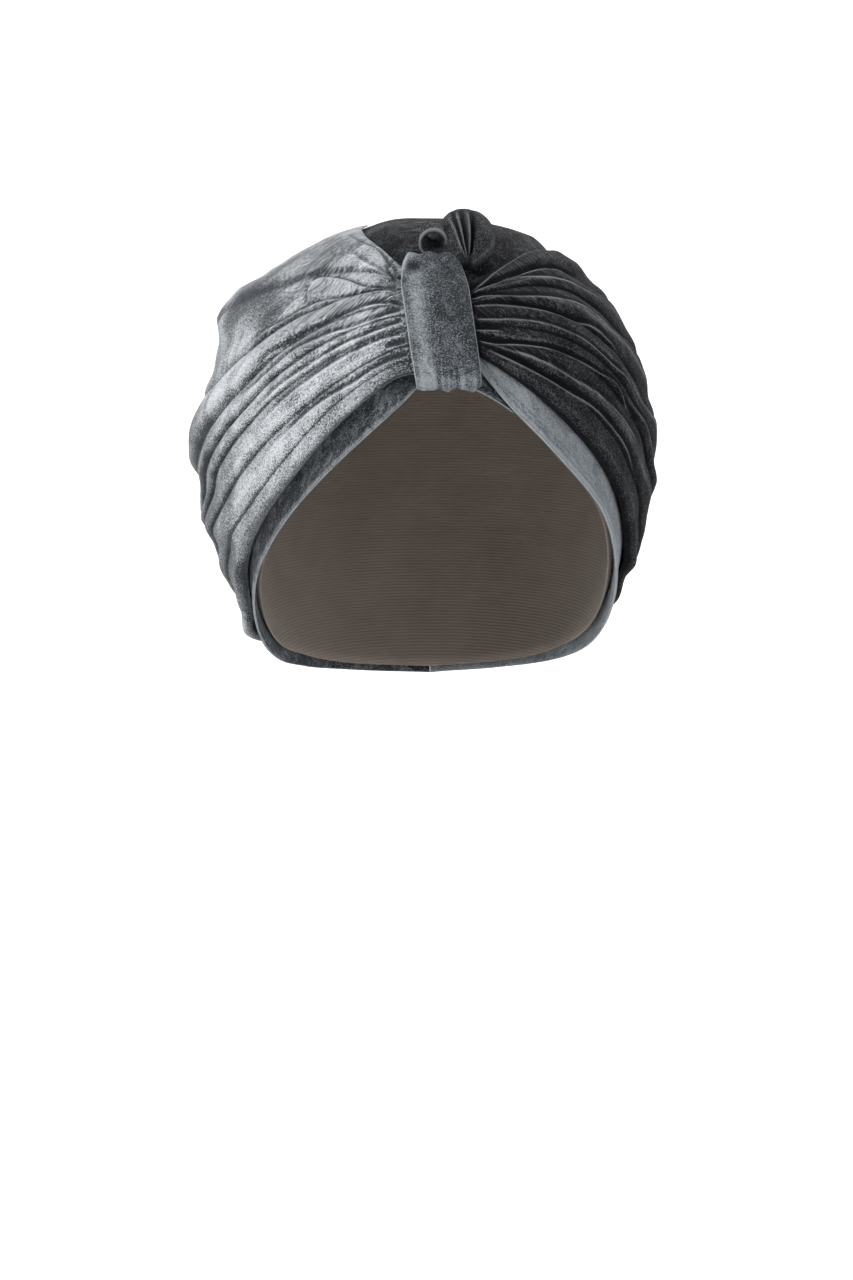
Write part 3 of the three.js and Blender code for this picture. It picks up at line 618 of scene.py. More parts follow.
# Shader nodes
def add_node(tree, kind, place, **settings):
    node = tree.nodes.new(kind)
    node.location = place
    for key, value in settings.items():
        setattr(node, key, value)
    return node


def wire(tree, source, target):
    tree.links.new(source, target)


def new_material(name):
    """A material, its node tree and its shader, which is wired to the output."""
    material = bpy.data.materials.new(name)
    material.use_nodes = True
    tree = material.node_tree
    tree.nodes.clear()
    out = add_node(tree, "ShaderNodeOutputMaterial", (900, 0))
    shader = add_node(tree, "ShaderNodeBsdfPrincipled", (600, 0))
    wire(tree, shader.outputs["BSDF"], out.inputs["Surface"])
    return material, tree, shader


def colour_mix(tree, factor, a, b, place):
    """A mix of two colours; a and b are sockets or colours."""
    node = add_node(tree, "ShaderNodeMix", place, data_type="RGBA")
    wire(tree, factor, node.inputs["Factor"])
    for key, colour in (("A", a), ("B", b)):
        if isinstance(colour, bpy.types.NodeSocket):
            wire(tree, colour, node.inputs[key])
        else:
            node.inputs[key].default_value = (*colour, 1)
    return node.outputs["Result"]


def bump_normal(tree, height, strength, distance, place):
    """The normal of a surface whose fine relief follows a height."""
    node = add_node(tree, "ShaderNodeBump", place)
    node.inputs["Strength"].default_value = strength
    node.inputs["Distance"].default_value = distance
    wire(tree, height, node.inputs["Height"])
    return node.outputs["Normal"]


def value_math(tree, operation, a, b, place, clamp=False):
    """One Math node; a and b are sockets or numbers."""
    node = add_node(tree, "ShaderNodeMath", place, operation=operation, use_clamp=clamp)
    for socket, value in zip(node.inputs, (a, b)):
        if isinstance(value, (int, float)):
            socket.default_value = value
        else:
            wire(tree, value, socket)
    return node.outputs[0]


def ranged(tree, value, low, high, to_low, to_high, place):
    """A value eased from one range to another."""
    node = add_node(tree, "ShaderNodeMapRange", place, interpolation_type="SMOOTHSTEP")
    wire(tree, value, node.inputs["Value"])
    for key, number in (("From Min", low), ("From Max", high), ("To Min", to_low), ("To Max", to_high)):
        node.inputs[key].default_value = number
    return node.outputs["Result"]


def noise(tree, vector, scale, detail, distortion, place, roughness=0.55):
    node = add_node(tree, "ShaderNodeTexNoise", place)
    wire(tree, vector, node.inputs["Vector"])
    node.inputs["Scale"].default_value = scale
    node.inputs["Detail"].default_value = detail
    node.inputs["Roughness"].default_value = roughness
    node.inputs["Distortion"].default_value = distortion
    return node.outputs["Fac"]


def group_sockets(group, ins, outs):
    """Adds a group's inputs (name, kind, default) and its outputs (name, kind)."""
    for name, kind, default in ins:
        socket = group.interface.new_socket(name=name, in_out="INPUT", socket_type=kind)
        if default is not None:
            socket.default_value = default
    for name, kind in outs:
        group.interface.new_socket(name=name, in_out="OUTPUT", socket_type=kind)


def velvet_pile_group():
    """Crushed velvet: a tone that turns with patches, squiggles, nap streaks, painted highlights on the
    folds' edges and painted shade in their hollows.
    """
    name = "Velvet pile"
    if name in bpy.data.node_groups:
        return bpy.data.node_groups[name]
    group = bpy.data.node_groups.new(name, "ShaderNodeTree")
    ins = [
        ("Vector", "NodeSocketVector", None),
        ("Edge", "NodeSocketFloat", 0.0),
        ("Hollow", "NodeSocketFloat", 0.0),
        ("Tone and painted light", "NodeSocketFloat", 0.0),
        ("Dark", "NodeSocketColor", (0.02, 0.02, 0.02, 1)),
        ("Light", "NodeSocketColor", (0.4, 0.4, 0.4, 1)),
        ("Tone", "NodeSocketFloat", 0.4),
        ("Patches", "NodeSocketFloat", 0.3),
        ("Crush", "NodeSocketFloat", 0.3),
        ("Squiggle", "NodeSocketFloat", 0.2),
        ("Nap", "NodeSocketFloat", 0.3),
        ("Flecks", "NodeSocketFloat", 0.3),
        ("Painted highlight strength", "NodeSocketFloat", 0.5),
        ("Painted shade strength", "NodeSocketFloat", 0.6),
    ]
    outs = [("Color", "NodeSocketColor"), ("Roughness", "NodeSocketFloat"), ("Height", "NodeSocketFloat")]
    group_sockets(group, ins, outs)
    start = add_node(group, "NodeGroupInput", (-1400, 0))
    end = add_node(group, "NodeGroupOutput", (1200, 0))
    vector = start.outputs["Vector"]
    stretch = add_node(group, "ShaderNodeMapping", (-1150, -300))
    stretch.inputs["Scale"].default_value = (1.0, 1.5, 1.0)
    wire(group, vector, stretch.inputs["Vector"])
    nap_way = stretch.outputs["Vector"]
    patches = ranged(group, noise(group, vector, 4.2, 2, 1.4, (-900, 400)), 0.36, 0.66, -1, 1, (-700, 400))
    crush = ranged(group, noise(group, vector, 17, 3, 2.2, (-900, 150)), 0.32, 0.7, -1, 1, (-700, 150))
    lines = noise(group, vector, 42, 1.5, 2.8, (-900, -100))
    lines = value_math(group, "SUBTRACT", lines, 0.5, (-700, -100))
    lines = value_math(group, "ABSOLUTE", lines, 0, (-560, -100))
    squiggle = ranged(group, lines, 0.0, 0.045, 1, 0, (-420, -100))
    broken = ranged(group, noise(group, vector, 9, 2, 1, (-900, -600)), 0.42, 0.6, 0, 1, (-700, -600))
    squiggle = value_math(group, "MULTIPLY", squiggle, broken, (-260, -100))
    fine = noise(group, nap_way, 130, 3, 0.4, (-900, -350), 0.8)
    nap = ranged(group, fine, 0.3, 0.7, -1, 1, (-700, -350))
    flecks = ranged(group, noise(group, nap_way, 165, 1, 0.3, (-900, -800)), 0.5, 0.6, 0, 1, (-700, -800))
    total = start.outputs["Tone"]
    for amount, mark, y in (
        ("Patches", patches, 500), ("Crush", crush, 350), ("Squiggle", squiggle, 200), ("Nap", nap, 50),
        ("Flecks", flecks, -50), ("Painted highlight strength", start.outputs["Edge"], -100),
    ):
        part = value_math(group, "MULTIPLY", mark, start.outputs[amount], (0, y))
        total = value_math(group, "ADD", total, part, (180, y))
    total = value_math(group, "ADD", total, start.outputs["Tone and painted light"], (340, 0))
    # Painted shade in the hollows darkens the tone.
    painted_shade_amount = value_math(group, "MULTIPLY", start.outputs["Hollow"], start.outputs["Painted shade strength"], (0, -250))
    total = value_math(group, "SUBTRACT", total, painted_shade_amount, (500, 0), clamp=True)
    color = colour_mix(group, total, start.outputs["Dark"], start.outputs["Light"], (760, 100))
    wire(group, color, end.inputs["Color"])
    wire(group, ranged(group, total, 0, 1, 0.82, 0.5, (760, -100)), end.inputs["Roughness"])
    height = value_math(group, "MULTIPLY", nap, 0.4, (500, -400))
    crushed = value_math(group, "MULTIPLY", crush, 0.5, (500, -550))
    height = value_math(group, "ADD", height, crushed, (660, -400))
    height = value_math(group, "ADD", height, squiggle, (820, -400))
    wire(group, height, end.inputs["Height"])
    return group


def stitch_rows_group():
    """Rows of close stitches near a hem's edge, from the distance across the hem and along it."""
    name = "Hem stitches"
    if name in bpy.data.node_groups:
        return bpy.data.node_groups[name]
    group = bpy.data.node_groups.new(name, "ShaderNodeTree")
    ins = [
        ("Vector", "NodeSocketVector", None),
        ("Spacing", "NodeSocketFloat", 0.024),
        ("Rows", "NodeSocketFloat", 0.085),
    ]
    group_sockets(group, ins, [("Mask", "NodeSocketFloat"), ("Height", "NodeSocketFloat")])
    start = add_node(group, "NodeGroupInput", (-900, 0))
    end = add_node(group, "NodeGroupOutput", (900, 0))
    split = add_node(group, "ShaderNodeSeparateXYZ", (-700, 0))
    wobble = noise(group, start.outputs["Vector"], 14, 1, 0, (-700, -300))
    wire(group, start.outputs["Vector"], split.inputs["Vector"])
    wobble = value_math(group, "SUBTRACT", wobble, 0.5, (-520, -300))
    wobble = value_math(group, "MULTIPLY", wobble, 0.02, (-380, -300))
    across = value_math(group, "ADD", split.outputs["Y"], wobble, (-500, 0))
    row = value_math(group, "DIVIDE", across, start.outputs["Spacing"], (-340, 0))
    row = value_math(group, "FRACT", row, 0, (-200, 0))
    row = value_math(group, "SUBTRACT", row, 0.5, (-60, 0))
    row = value_math(group, "ABSOLUTE", row, 0, (80, 0))
    groove = ranged(group, row, 0.0, 0.22, 1, 0, (220, 0))
    inside = value_math(group, "LESS_THAN", across, start.outputs["Rows"], (-340, 200))
    dash = value_math(group, "DIVIDE", split.outputs["X"], 0.03, (-340, -150))
    dash = value_math(group, "FRACT", dash, 0, (-200, -150))
    dash = ranged(group, dash, 0.1, 0.3, 0.45, 1, (-60, -150))
    mask = value_math(group, "MULTIPLY", groove, inside, (400, 50))
    mask = value_math(group, "MULTIPLY", mask, dash, (560, 50))
    wire(group, mask, end.inputs["Mask"])
    wire(group, value_math(group, "MULTIPLY", mask, -1.0, (560, -150)), end.inputs["Height"])
    return group


VELVET_INPUTS = ("Tone", "Patches", "Crush", "Squiggle", "Nap", "Flecks", "Painted highlight strength", "Painted shade strength")
# A velvet finish: its two colours, one amount for each of the inputs above, its sheen, and how far its rows
# of stitches reach in cloth units.
Finish = namedtuple(
    "Finish",
    "dark light tone patches crush squiggle nap flecks edge hollow sheen sheen_roughness tint stitches",
)


def velvet(name, finish):
    """One velvet finish on the piece's own cloth coordinates."""
    material, tree, shader = new_material(name)
    shader.inputs["Sheen Weight"].default_value = finish.sheen
    shader.inputs["Sheen Roughness"].default_value = finish.sheen_roughness
    shader.inputs["Sheen Tint"].default_value = (*finish.tint, 1)
    shader.inputs["Specular IOR Level"].default_value = 0.08
    cloth = add_node(tree, "ShaderNodeUVMap", (-700, 0), uv_map="Cloth")
    pile = add_node(tree, "ShaderNodeGroup", (-200, 0))
    pile.node_tree = velvet_pile_group()
    wire(tree, cloth.outputs["UV"], pile.inputs["Vector"])
    # The piece's marks: painted highlights on edges, painted shade in hollows, and tones with painted light.
    for key, socket, y in (("edge", "Edge", -200), ("hollow", "Hollow", -350), ("tone_and_painted_light", "Tone and painted light", -500)):
        mark = add_node(tree, "ShaderNodeAttribute", (-700, y), attribute_name=key)
        wire(tree, mark.outputs["Fac"], pile.inputs[socket])
    pile.inputs["Dark"].default_value = (*finish.dark, 1)
    pile.inputs["Light"].default_value = (*finish.light, 1)
    for socket, amount in zip(VELVET_INPUTS, finish[2:]):
        pile.inputs[socket].default_value = amount
    color, height = pile.outputs["Color"], pile.outputs["Height"]
    if finish.stitches:
        rows = add_node(tree, "ShaderNodeGroup", (-200, -400))
        rows.node_tree = stitch_rows_group()
        rows.inputs["Rows"].default_value = finish.stitches
        wire(tree, cloth.outputs["UV"], rows.inputs["Vector"])
        mask = value_math(tree, "MULTIPLY", rows.outputs["Mask"], 0.5, (0, 250))
        color = colour_mix(tree, mask, color, [3 * c for c in finish.dark], (150, 100))
        height = value_math(tree, "ADD", height, rows.outputs["Height"], (150, -300))
    wire(tree, color, shader.inputs["Base Color"])
    wire(tree, pile.outputs["Roughness"], shader.inputs["Roughness"])
    wire(tree, bump_normal(tree, height, 0.55, 0.0004, (350, -300)), shader.inputs["Normal"])
    return material


def knit(name, dark, light):
    """The lining's fine matt knit, in small rows of loops."""
    material, tree, shader = new_material(name)
    shader.inputs["Roughness"].default_value = 0.92
    shader.inputs["Specular IOR Level"].default_value = 0.2
    shader.inputs["Sheen Weight"].default_value = 0.15
    place = add_node(tree, "ShaderNodeTexCoord", (-900, 0))
    vector = place.outputs["Object"]
    rows = add_node(tree, "ShaderNodeTexWave", (-600, 100), wave_type="BANDS", bands_direction="Z")
    rows.inputs["Scale"].default_value = 260
    rows.inputs["Distortion"].default_value = 1.2
    rows.inputs["Detail"].default_value = 1
    wire(tree, vector, rows.inputs["Vector"])
    cloudy = noise(tree, vector, 45, 3, 0.5, (-600, -250))
    loops = value_math(tree, "MULTIPLY", rows.outputs["Fac"], 0.35, (-300, 100))
    clouds = value_math(tree, "MULTIPLY", cloudy, 0.65, (-300, -150))
    tone = value_math(tree, "ADD", loops, clouds, (-120, 0), clamp=True)
    wire(tree, colour_mix(tree, tone, dark, light, (150, 100)), shader.inputs["Base Color"])
    normal = bump_normal(tree, rows.outputs["Fac"], 0.3, 0.0003, (300, -250))
    wire(tree, normal, shader.inputs["Normal"])
    return material


# Settings
class TurbanColours(bpy.types.PropertyGroup):
    """Colours of the turban's cloth."""

    # Each first colour is reached at raised pile and painted highlights, each shade at flat pile and painted
    # shade.
    # The silver of the left wrap and the charcoal of the right wrap are partly painted sheen of one velvet.
    silver: FloatVectorProperty(
        name="Silver pile", description="Raised pile of the left wrap", subtype="COLOR", size=3,
        default=(0.68, 0.72, 0.76), min=0, max=1)
    silver_shade: FloatVectorProperty(
        name="Silver shade", description="Flat pile of the left wrap", subtype="COLOR", size=3,
        default=(0.032, 0.036, 0.042), min=0, max=1)
    charcoal: FloatVectorProperty(
        name="Charcoal pile", description="Raised pile of the right wrap and the crown", subtype="COLOR",
        size=3, default=(0.2, 0.21, 0.225), min=0, max=1)
    charcoal_shade: FloatVectorProperty(
        name="Charcoal shade", description="Flat pile of the right wrap and the crown", subtype="COLOR",
        size=3, default=(0.005, 0.0055, 0.007), min=0, max=1)
    slate: FloatVectorProperty(
        name="Slate pile", description="Raised pile of the front band", subtype="COLOR", size=3,
        default=(0.34, 0.375, 0.405), min=0, max=1)
    slate_shade: FloatVectorProperty(
        name="Slate shade", description="Flat pile of the front band", subtype="COLOR", size=3,
        default=(0.018, 0.021, 0.025), min=0, max=1)
    taupe: FloatVectorProperty(
        name="Lining", description="The knit lining", subtype="COLOR", size=3, default=(0.3, 0.255, 0.22),
        min=0, max=1)


class TurbanSizes(bpy.types.PropertyGroup):
    """Sizes of the cloth's finer shapes, the stage and the camera."""

    fold_rise: FloatProperty(
        name="Fold rise", description="How strongly the fine fold edges stand out", default=1.3, min=0,
        max=2, subtype="FACTOR")
    camera_distance: FloatProperty(
        name="Camera distance", description="From the middle of the turban", default=1.1, min=0.3,
        unit="LENGTH")
    camera_rise: FloatProperty(
        name="Camera rise", description="How far above the turban's middle the camera looks from",
        default=math.radians(4), subtype="ANGLE")
    lens: FloatProperty(name="Lens", description="Focal length", default=77.34, min=20, unit="CAMERA")
    floor_drop: FloatProperty(
        name="Floor drop", description="How far the floor lies under the turban's top", default=0.343,
        min=0.2, unit="LENGTH")
    key_power: FloatProperty(
        name="Key light", description="Power of the soft key light", default=21.0, min=0, unit="POWER")
    backdrop_power: FloatProperty(
        name="Backdrop light", description="Power of the light on the wall behind", default=40.0, min=0,
        unit="POWER")
    backdrop_glow: FloatProperty(
        name="Backdrop glow", description="How much paler the camera sees the floor and its walls",
        default=0.5, min=0, max=1, subtype="FACTOR")
    fill_power: FloatProperty(
        name="Fill light", description="Power of the soft fill light", default=5.0, min=0, unit="POWER")


def finish_for(kind):
    """The values of one velvet finish."""
    c = bpy.context.scene.turban_colours
    silver, dark = (c.silver_shade[:], c.silver[:]), (c.charcoal_shade[:], c.charcoal[:])
    slate = (c.slate_shade[:], c.slate[:])
    cool, dull = (0.75, 0.8, 0.86), (0.7, 0.73, 0.78)
    table = {
        # The silver and charcoal finishes are partly painted sheen: the left wrap is painted lit, the right
        # wrap shaded.
        "silver": Finish(*silver, 0.23, 0.19, 0.12, 0.24, 0.52, 0.68, 0.65, 0.9, 0.4, 0.35, cool, 0),
        "charcoal": Finish(*dark, -0.07, 0.06, 0.1, 0.2, 0.24, 0.38, 1.55, 0.6, 0.04, 0.3, dull, 0),
        "crown": Finish(*dark, -0.04, 0.12, 0.14, 0.22, 0.22, 0.3, 0.9, 0.4, 0.05, 0.3, dull, 0),
        "slate": Finish(*slate, 0.05, 0.08, 0.14, 0.24, 0.36, 0.34, 1.0, 0.7, 0.14, 0.35, cool, 0),
        # hem_dark and hem_light are one slate velvet with painted sheen: a shaded copy and a lit copy.
        "hem_dark": Finish(*slate, 0.02, 0.14, 0.2, 0.36, 0.26, 0.36, 0.8, 0.4, 0.26, 0.35, cool, 0.05),
        "hem_light": Finish(*slate, 0.56, 0.12, 0.18, 0.3, 0.34, 0.4, 0.6, 0.4, 0.35, 0.35, cool, 0.075),
    }
    return table[kind]


# Operators
class TURBAN_OT_wraps(bpy.types.Operator):
    """Makes the two pleated velvet wraps"""

    bl_idname = "turban.wraps"
    bl_label = "Make the wraps"

    def execute(self, context):
        sizes = context.scene.turban_sizes
        outer, inner, marks = wrap_surface(LEFT_FOLDS, -1, LEFT_LIPS, LEFT_PATCHES, sizes, 0.4, 18, 320)
        piece = cloth_wall("left_wrap_velvet", outer, inner, marks)
        dress(piece, velvet("silver velvet", finish_for("silver")), "left_wrap")
        outer, inner, marks = wrap_surface(RIGHT_FOLDS, 1, RIGHT_LIPS, (), sizes, 0.2, 20, 320)
        piece = cloth_wall("right_wrap_velvet", outer, inner, marks)
        dress(piece, velvet("charcoal velvet", finish_for("charcoal")), "right_wrap")
        return {"FINISHED"}


def crown_surface(columns):
    """Outer and inner rings of the crown panel, from its tucked rim to the pole."""
    azimuth = np.linspace(-180, 180, columns, endpoint=False)
    left = along_stations(LEFT_FOLDS[-1].line, np.abs(azimuth))
    right = along_stations(RIGHT_FOLDS[-1].line, np.abs(azimuth))
    edge = np.where(azimuth < 0, left, right)
    at_back = smooth_step(BACK_START, BACK_END, np.abs(azimuth))
    span = degrees_for(1.0, azimuth, edge)
    rows = [(edge - span * CROWN_TUCK, 0.0, 0.0)]
    for share in np.linspace(0, 1, 14):
        rows.append((edge + span * mix(CROWN_CLEAR, CROWN_RISE, share), share, 0.0))
    for share in np.linspace(0, 1, 34)[1:-1]:
        rows.append((mix(edge + span * CROWN_RISE, 90, share), 1.0, smooth_step(0, 1, share)))
    rows.append((np.full(columns, 89.7), 1.0, 1.0))
    outer, inner = [], []
    for elevation, proud, to_pole in rows:
        full = np.maximum(CROWN_THICKNESS, room_at(azimuth, elevation) - CROWN_DROP - CROWN_BASE)
        flat = CROWN_THICKNESS + crown_lift(azimuth)
        shoulder = mix(flat, np.maximum(flat, full), proud * (1 - at_back))
        lift = CROWN_BASE + mix(shoulder, full, to_pole)
        show = smooth_step(0.2, 1, proud) * (1 - to_pole)
        soft = 0.35 * drift(azimuth / 14, elevation / 9, 3.3) * show
        outer.append(point_at(azimuth, elevation, lift + soft))
        inner.append(point_at(azimuth, elevation, lift - CROWN_THICKNESS))
    return np.array(outer), np.array(inner)


class TURBAN_OT_crown(bpy.types.Operator):
    """Makes the dark velvet panel over the crown"""

    bl_idname = "turban.crown"
    bl_label = "Make the crown panel"

    def execute(self, context):
        outer, inner = crown_surface(192)
        uv = outer[..., :2] / UV_UNIT
        piece = cloth_wall("crown_velvet", outer, inner, ring=True, pole=True, uv=uv)
        dress(piece, velvet("crown velvet", finish_for("crown")), "crown_panel")
        return {"FINISHED"}


def lining_surface(columns):
    """Outer and inner rings of the lining, from just inside the opening's edge to the pole."""
    azimuth = np.linspace(-180, 180, columns, endpoint=False)
    left = along_stations(LEFT_OPENING, np.abs(azimuth))
    right = along_stations(RIGHT_OPENING, np.abs(azimuth))
    edge = np.where(azimuth < 0, left, right)
    start = edge + degrees_for(HEM_SET_BACK, azimuth, edge)
    outer, inner = [], []
    shares = np.append(np.linspace(0, 1, 70)[:-1], 0.997)
    for share in shares:
        elevation = mix(start, 90, share)
        easy = 0.12 * drift(azimuth / 6, elevation / 6, 0.9) * smooth_step(0, 0.1, share) * (1 - share)
        rim = 1 - 0.35 * math.exp(-((share / 0.004) ** 2))
        outer.append(point_at(azimuth, elevation, LINING_THICKNESS * rim + easy * 0.3))
        inner.append(point_at(azimuth, elevation, easy * 0.6 + LINING_THICKNESS * (1 - rim)))
    return np.array(outer), np.array(inner)


class TURBAN_OT_lining(bpy.types.Operator):
    """Makes the thin knit lining"""

    bl_idname = "turban.lining"
    bl_label = "Make the lining"

    def execute(self, context):
        outer, inner = lining_surface(160)
        piece = cloth_wall("lining_cloth", outer, inner, ring=True, pole=True)
        taupe = context.scene.turban_colours.taupe[:]
        dress(piece, knit("lining knit", [c * 0.55 for c in taupe], taupe), "lining")
        return {"FINISHED"}


def hem_surface(side, first, base, lower, upper, columns):
    """Outer and inner grids of a turned hem with a rounded lower edge."""
    turn = np.linspace(0, math.pi / 2, 7)
    flat = np.linspace(HEM_ROUND, 1 - HEM_ROUND, 26)[1:]
    shares = np.concatenate([HEM_ROUND * (1 - np.cos(turn)), flat, 1 - HEM_ROUND * (1 - np.sin(turn[1:]))])
    plump = np.concatenate([np.sin(turn), np.ones(len(flat)), np.cos(turn[1:])])
    around = np.linspace(first, SEAM_AZIMUTH, columns)
    low = along_stations(lower(side * around), np.abs(around))
    high = along_stations(upper, np.abs(around))
    high = high + degrees_for(HEM_TUCK, side * around, low)
    outer, inner, painted_highlight = [], [], []
    for share, full in zip(shares, plump):
        elevation = mix(low, high, share)
        shift = np.degrees(SEAM_GAP / 2 / form_radius(HOLLOW, direction(SEAM_AZIMUTH, elevation)))
        azimuth = side * np.minimum(around, SEAM_AZIMUTH - shift / np.cos(np.radians(elevation)))
        flare = HEM_FLARE * at_side(np.abs(around)) * (1 - smooth_step(0, HEM_FLARE_END, share))
        lift = base(around) + flare
        roll = HEM_ROLL * (1 - smooth_step(0.1, 0.6, share))
        soft = 0.12 * drift(around / 3.5, share * 5, 4.4 + side) * full
        middle = HEM_THICKNESS / 2
        outer.append(point_at(azimuth, elevation, lift + middle * (1 + full) + (roll + soft) * full))
        inner.append(point_at(azimuth, elevation, lift + middle * (1 - full)))
        # A painted highlight along the hem's rounded lower edge.
        painted_highlight.append(np.full(columns, math.exp(-((share / 0.09) ** 2))))
    return np.array(outer), np.array(inner), {"edge": np.array(painted_highlight)}


class TURBAN_OT_hems(bpy.types.Operator):
    """Makes the two turned hem bands along the opening"""

    bl_idname = "turban.hems"
    bl_label = "Make the hem bands"

    def execute(self, context):
        def left_base(around):
            return np.full_like(around, LEFT_HEM_BASE)

        def right_base(around):
            return lay_down(RIGHT_HEM_BASE, LEFT_HEM_BASE, around)

        def left_lower(azimuth):
            """The left hem crosses the front centre, and follows the opening's other side there."""
            left, right = np.array(LEFT_OPENING, float), np.array(RIGHT_OPENING, float)
            return np.where((azimuth < 0)[:, None], left, right)

        def right_lower(azimuth):
            return RIGHT_HEM

        # Both hems are one slate velvet: the left hem is its shaded copy and the right hem its lit copy, in
        # painted sheen.
        hems = (
            ("left", "dark", (0.026, 0.245), -1, -20, left_base, left_lower, LEFT_FOLDS),
            ("right", "light", (0.026, 0.24), 1, 7, right_base, right_lower, RIGHT_FOLDS),
        )
        for name, tone, flat, side, first, base, lower, folds in hems:
            outer, inner, marks = hem_surface(side, first, base, lower, folds[0].line, 300)
            piece = cloth_wall(name + "_hem_velvet", outer, inner, marks)
            finish = velvet(tone + " hem velvet", finish_for("hem_" + tone))
            dress(piece, finish, name + "_hem_band")
        return {"FINISHED"}


def band_surface(rows, columns):
    """Outer and inner grids of the front band, with its turned ends and its puckers."""
    t = np.linspace(0, len(BAND_SECTIONS) - 1, rows)
    places = np.arange(len(BAND_SECTIONS))
    section = np.stack([np.interp(t, places, BAND_SECTIONS[:, i]) for i in range(4)], -1)
    kernel = np.hanning(15)[1:-1]
    kernel /= kernel.sum()
    padded = np.pad(section, ((6, 6), (0, 0)), mode="edge")
    section = np.stack([np.convolve(padded[:, i], kernel, mode="valid") for i in range(4)], -1)
    down, height, width, turn = (section[:, i : i + 1] for i in range(4))
    side = np.sin(np.linspace(-1, 1, columns) * math.pi / 2)[None, :]
    waves = np.cos(side * 3 * math.pi + 0.5 * np.sin(side * 4)) * 0.7 + 0.3 * np.cos(side * 15 + 1.2)
    low_end = smooth_step(0.55, 1, down)
    top_end = 1 - smooth_step(0, 0.12, down)
    pucker = 0.28 * waves * low_end + 0.25 * np.cos(side * 9 + 0.6) * top_end
    scallop = degrees_for(0.42, 0, 0) * waves * smooth_step(0.86, 1, down)
    scallop = scallop - degrees_for(0.35, 0, 0) * np.cos(side * 7 + 0.4) * top_end
    elevation = mix(BAND_TOP_ELEVATION, BAND_BOTTOM_ELEVATION, down) - scallop
    waist = 1 - 0.02 * np.sin(np.clip(down, 0, 1) * math.pi)
    azimuth = band_azimuth(elevation, side * BAND_HALF_WIDTH * waist * width)
    thin = mix(BAND_SIDE_SHARE, 1, np.sqrt(np.clip(1 - np.abs(side) ** 6, 0, 1)))
    crown = 0.5 * (1 - side**2) * np.sin(np.clip(down, 0, 1) * math.pi)
    middle = (BAND_BASE + BAND_THICKNESS / 2) * height - BAND_THICKNESS * (1 - thin) / 2
    long_folds = 0.28 * np.cos(side * 7.5 + 0.8 + 0.8 * np.sin(down * 3)) * (0.35 + 0.65 * down)
    out = direction(azimuth, elevation) * np.cos(np.radians(turn))[..., None]
    along = direction(azimuth, elevation - 90) * np.sin(np.radians(turn))[..., None]
    tuck = np.exp(-(((side + 0.62) / 0.2) ** 2) - ((down - 0.12) / 0.06) ** 2)
    tuck_rim = np.exp(-(((side + 0.93) / 0.1) ** 2) - ((down - 0.07) / 0.09) ** 2)
    wrinkles = np.cos(side * 26 + 2 * np.sin(side * 5)) * smooth_step(0.84, 0.97, down)
    pucker = pucker + 0.16 * wrinkles
    relief = (0.7 * pucker + crown + long_folds) * thin + 0.5 * tuck_rim - 1.1 * tuck
    face = BAND_THICKNESS / 2 * thin + relief
    place = point_at(azimuth, elevation, middle)
    outer = place + (out + along) * face[..., None]
    inner = place - (out + along) * (BAND_THICKNESS / 2 * thin)[..., None]
    # Painted highlights along the band's sides, its lower edge, its wrinkles and the tuck's rim, and painted
    # shade in the puckers and the tuck.
    rim = np.exp(-(((1 - np.abs(side)) / 0.03) ** 2)) + 0.35 * np.exp(-(((down - 1.0) / 0.05) ** 2))
    rim = rim + 0.25 * np.clip(wrinkles, 0, 1)
    rim = np.clip(rim + 0.8 * tuck_rim, 0, 1)
    hollow = np.clip(-waves, 0, 1) * smooth_step(0.8, 1, down) * 0.3 + 1.3 * tuck
    # Painted light on the band's left third, and a little painted shade towards its right side.
    light = 0.42 * np.exp(-(((side + 0.62) / 0.24) ** 2)) - 0.06 * smooth_step(-0.2, 0.5, side)
    full = np.ones_like(elevation)
    marks = {"edge": rim * full, "hollow": hollow * full, "tone_and_painted_light": light * full}
    return outer, inner, marks


class TURBAN_OT_band(bpy.types.Operator):
    """Makes the short front band with its puckered lower end"""

    bl_idname = "turban.band"
    bl_label = "Make the front band"

    def execute(self, context):
        outer, inner, marks = band_surface(170, 90)
        piece = cloth_wall("front_band_velvet", outer, inner, marks)
        dress(piece, velvet("slate velvet", finish_for("slate")), "front_band")
        return {"FINISHED"}


def crown_point(x, y, lift):
    """Points over the crown, this far out from the outside form."""
    depth = np.where(y < 0, OUTSIDE.front, OUTSIDE.back)
    rest = 1 - np.abs(x / OUTSIDE.half_width) ** ROUNDNESS - np.abs(y / depth) ** ROUNDNESS
    way = np.stack(np.broadcast_arrays(x, y, OUTSIDE.up * rest ** (1 / ROUNDNESS)), -1)
    way = way / np.linalg.norm(way, axis=-1, keepdims=True)
    return way * (form_radius(OUTSIDE, way) + lift)[..., None] + CENTRE


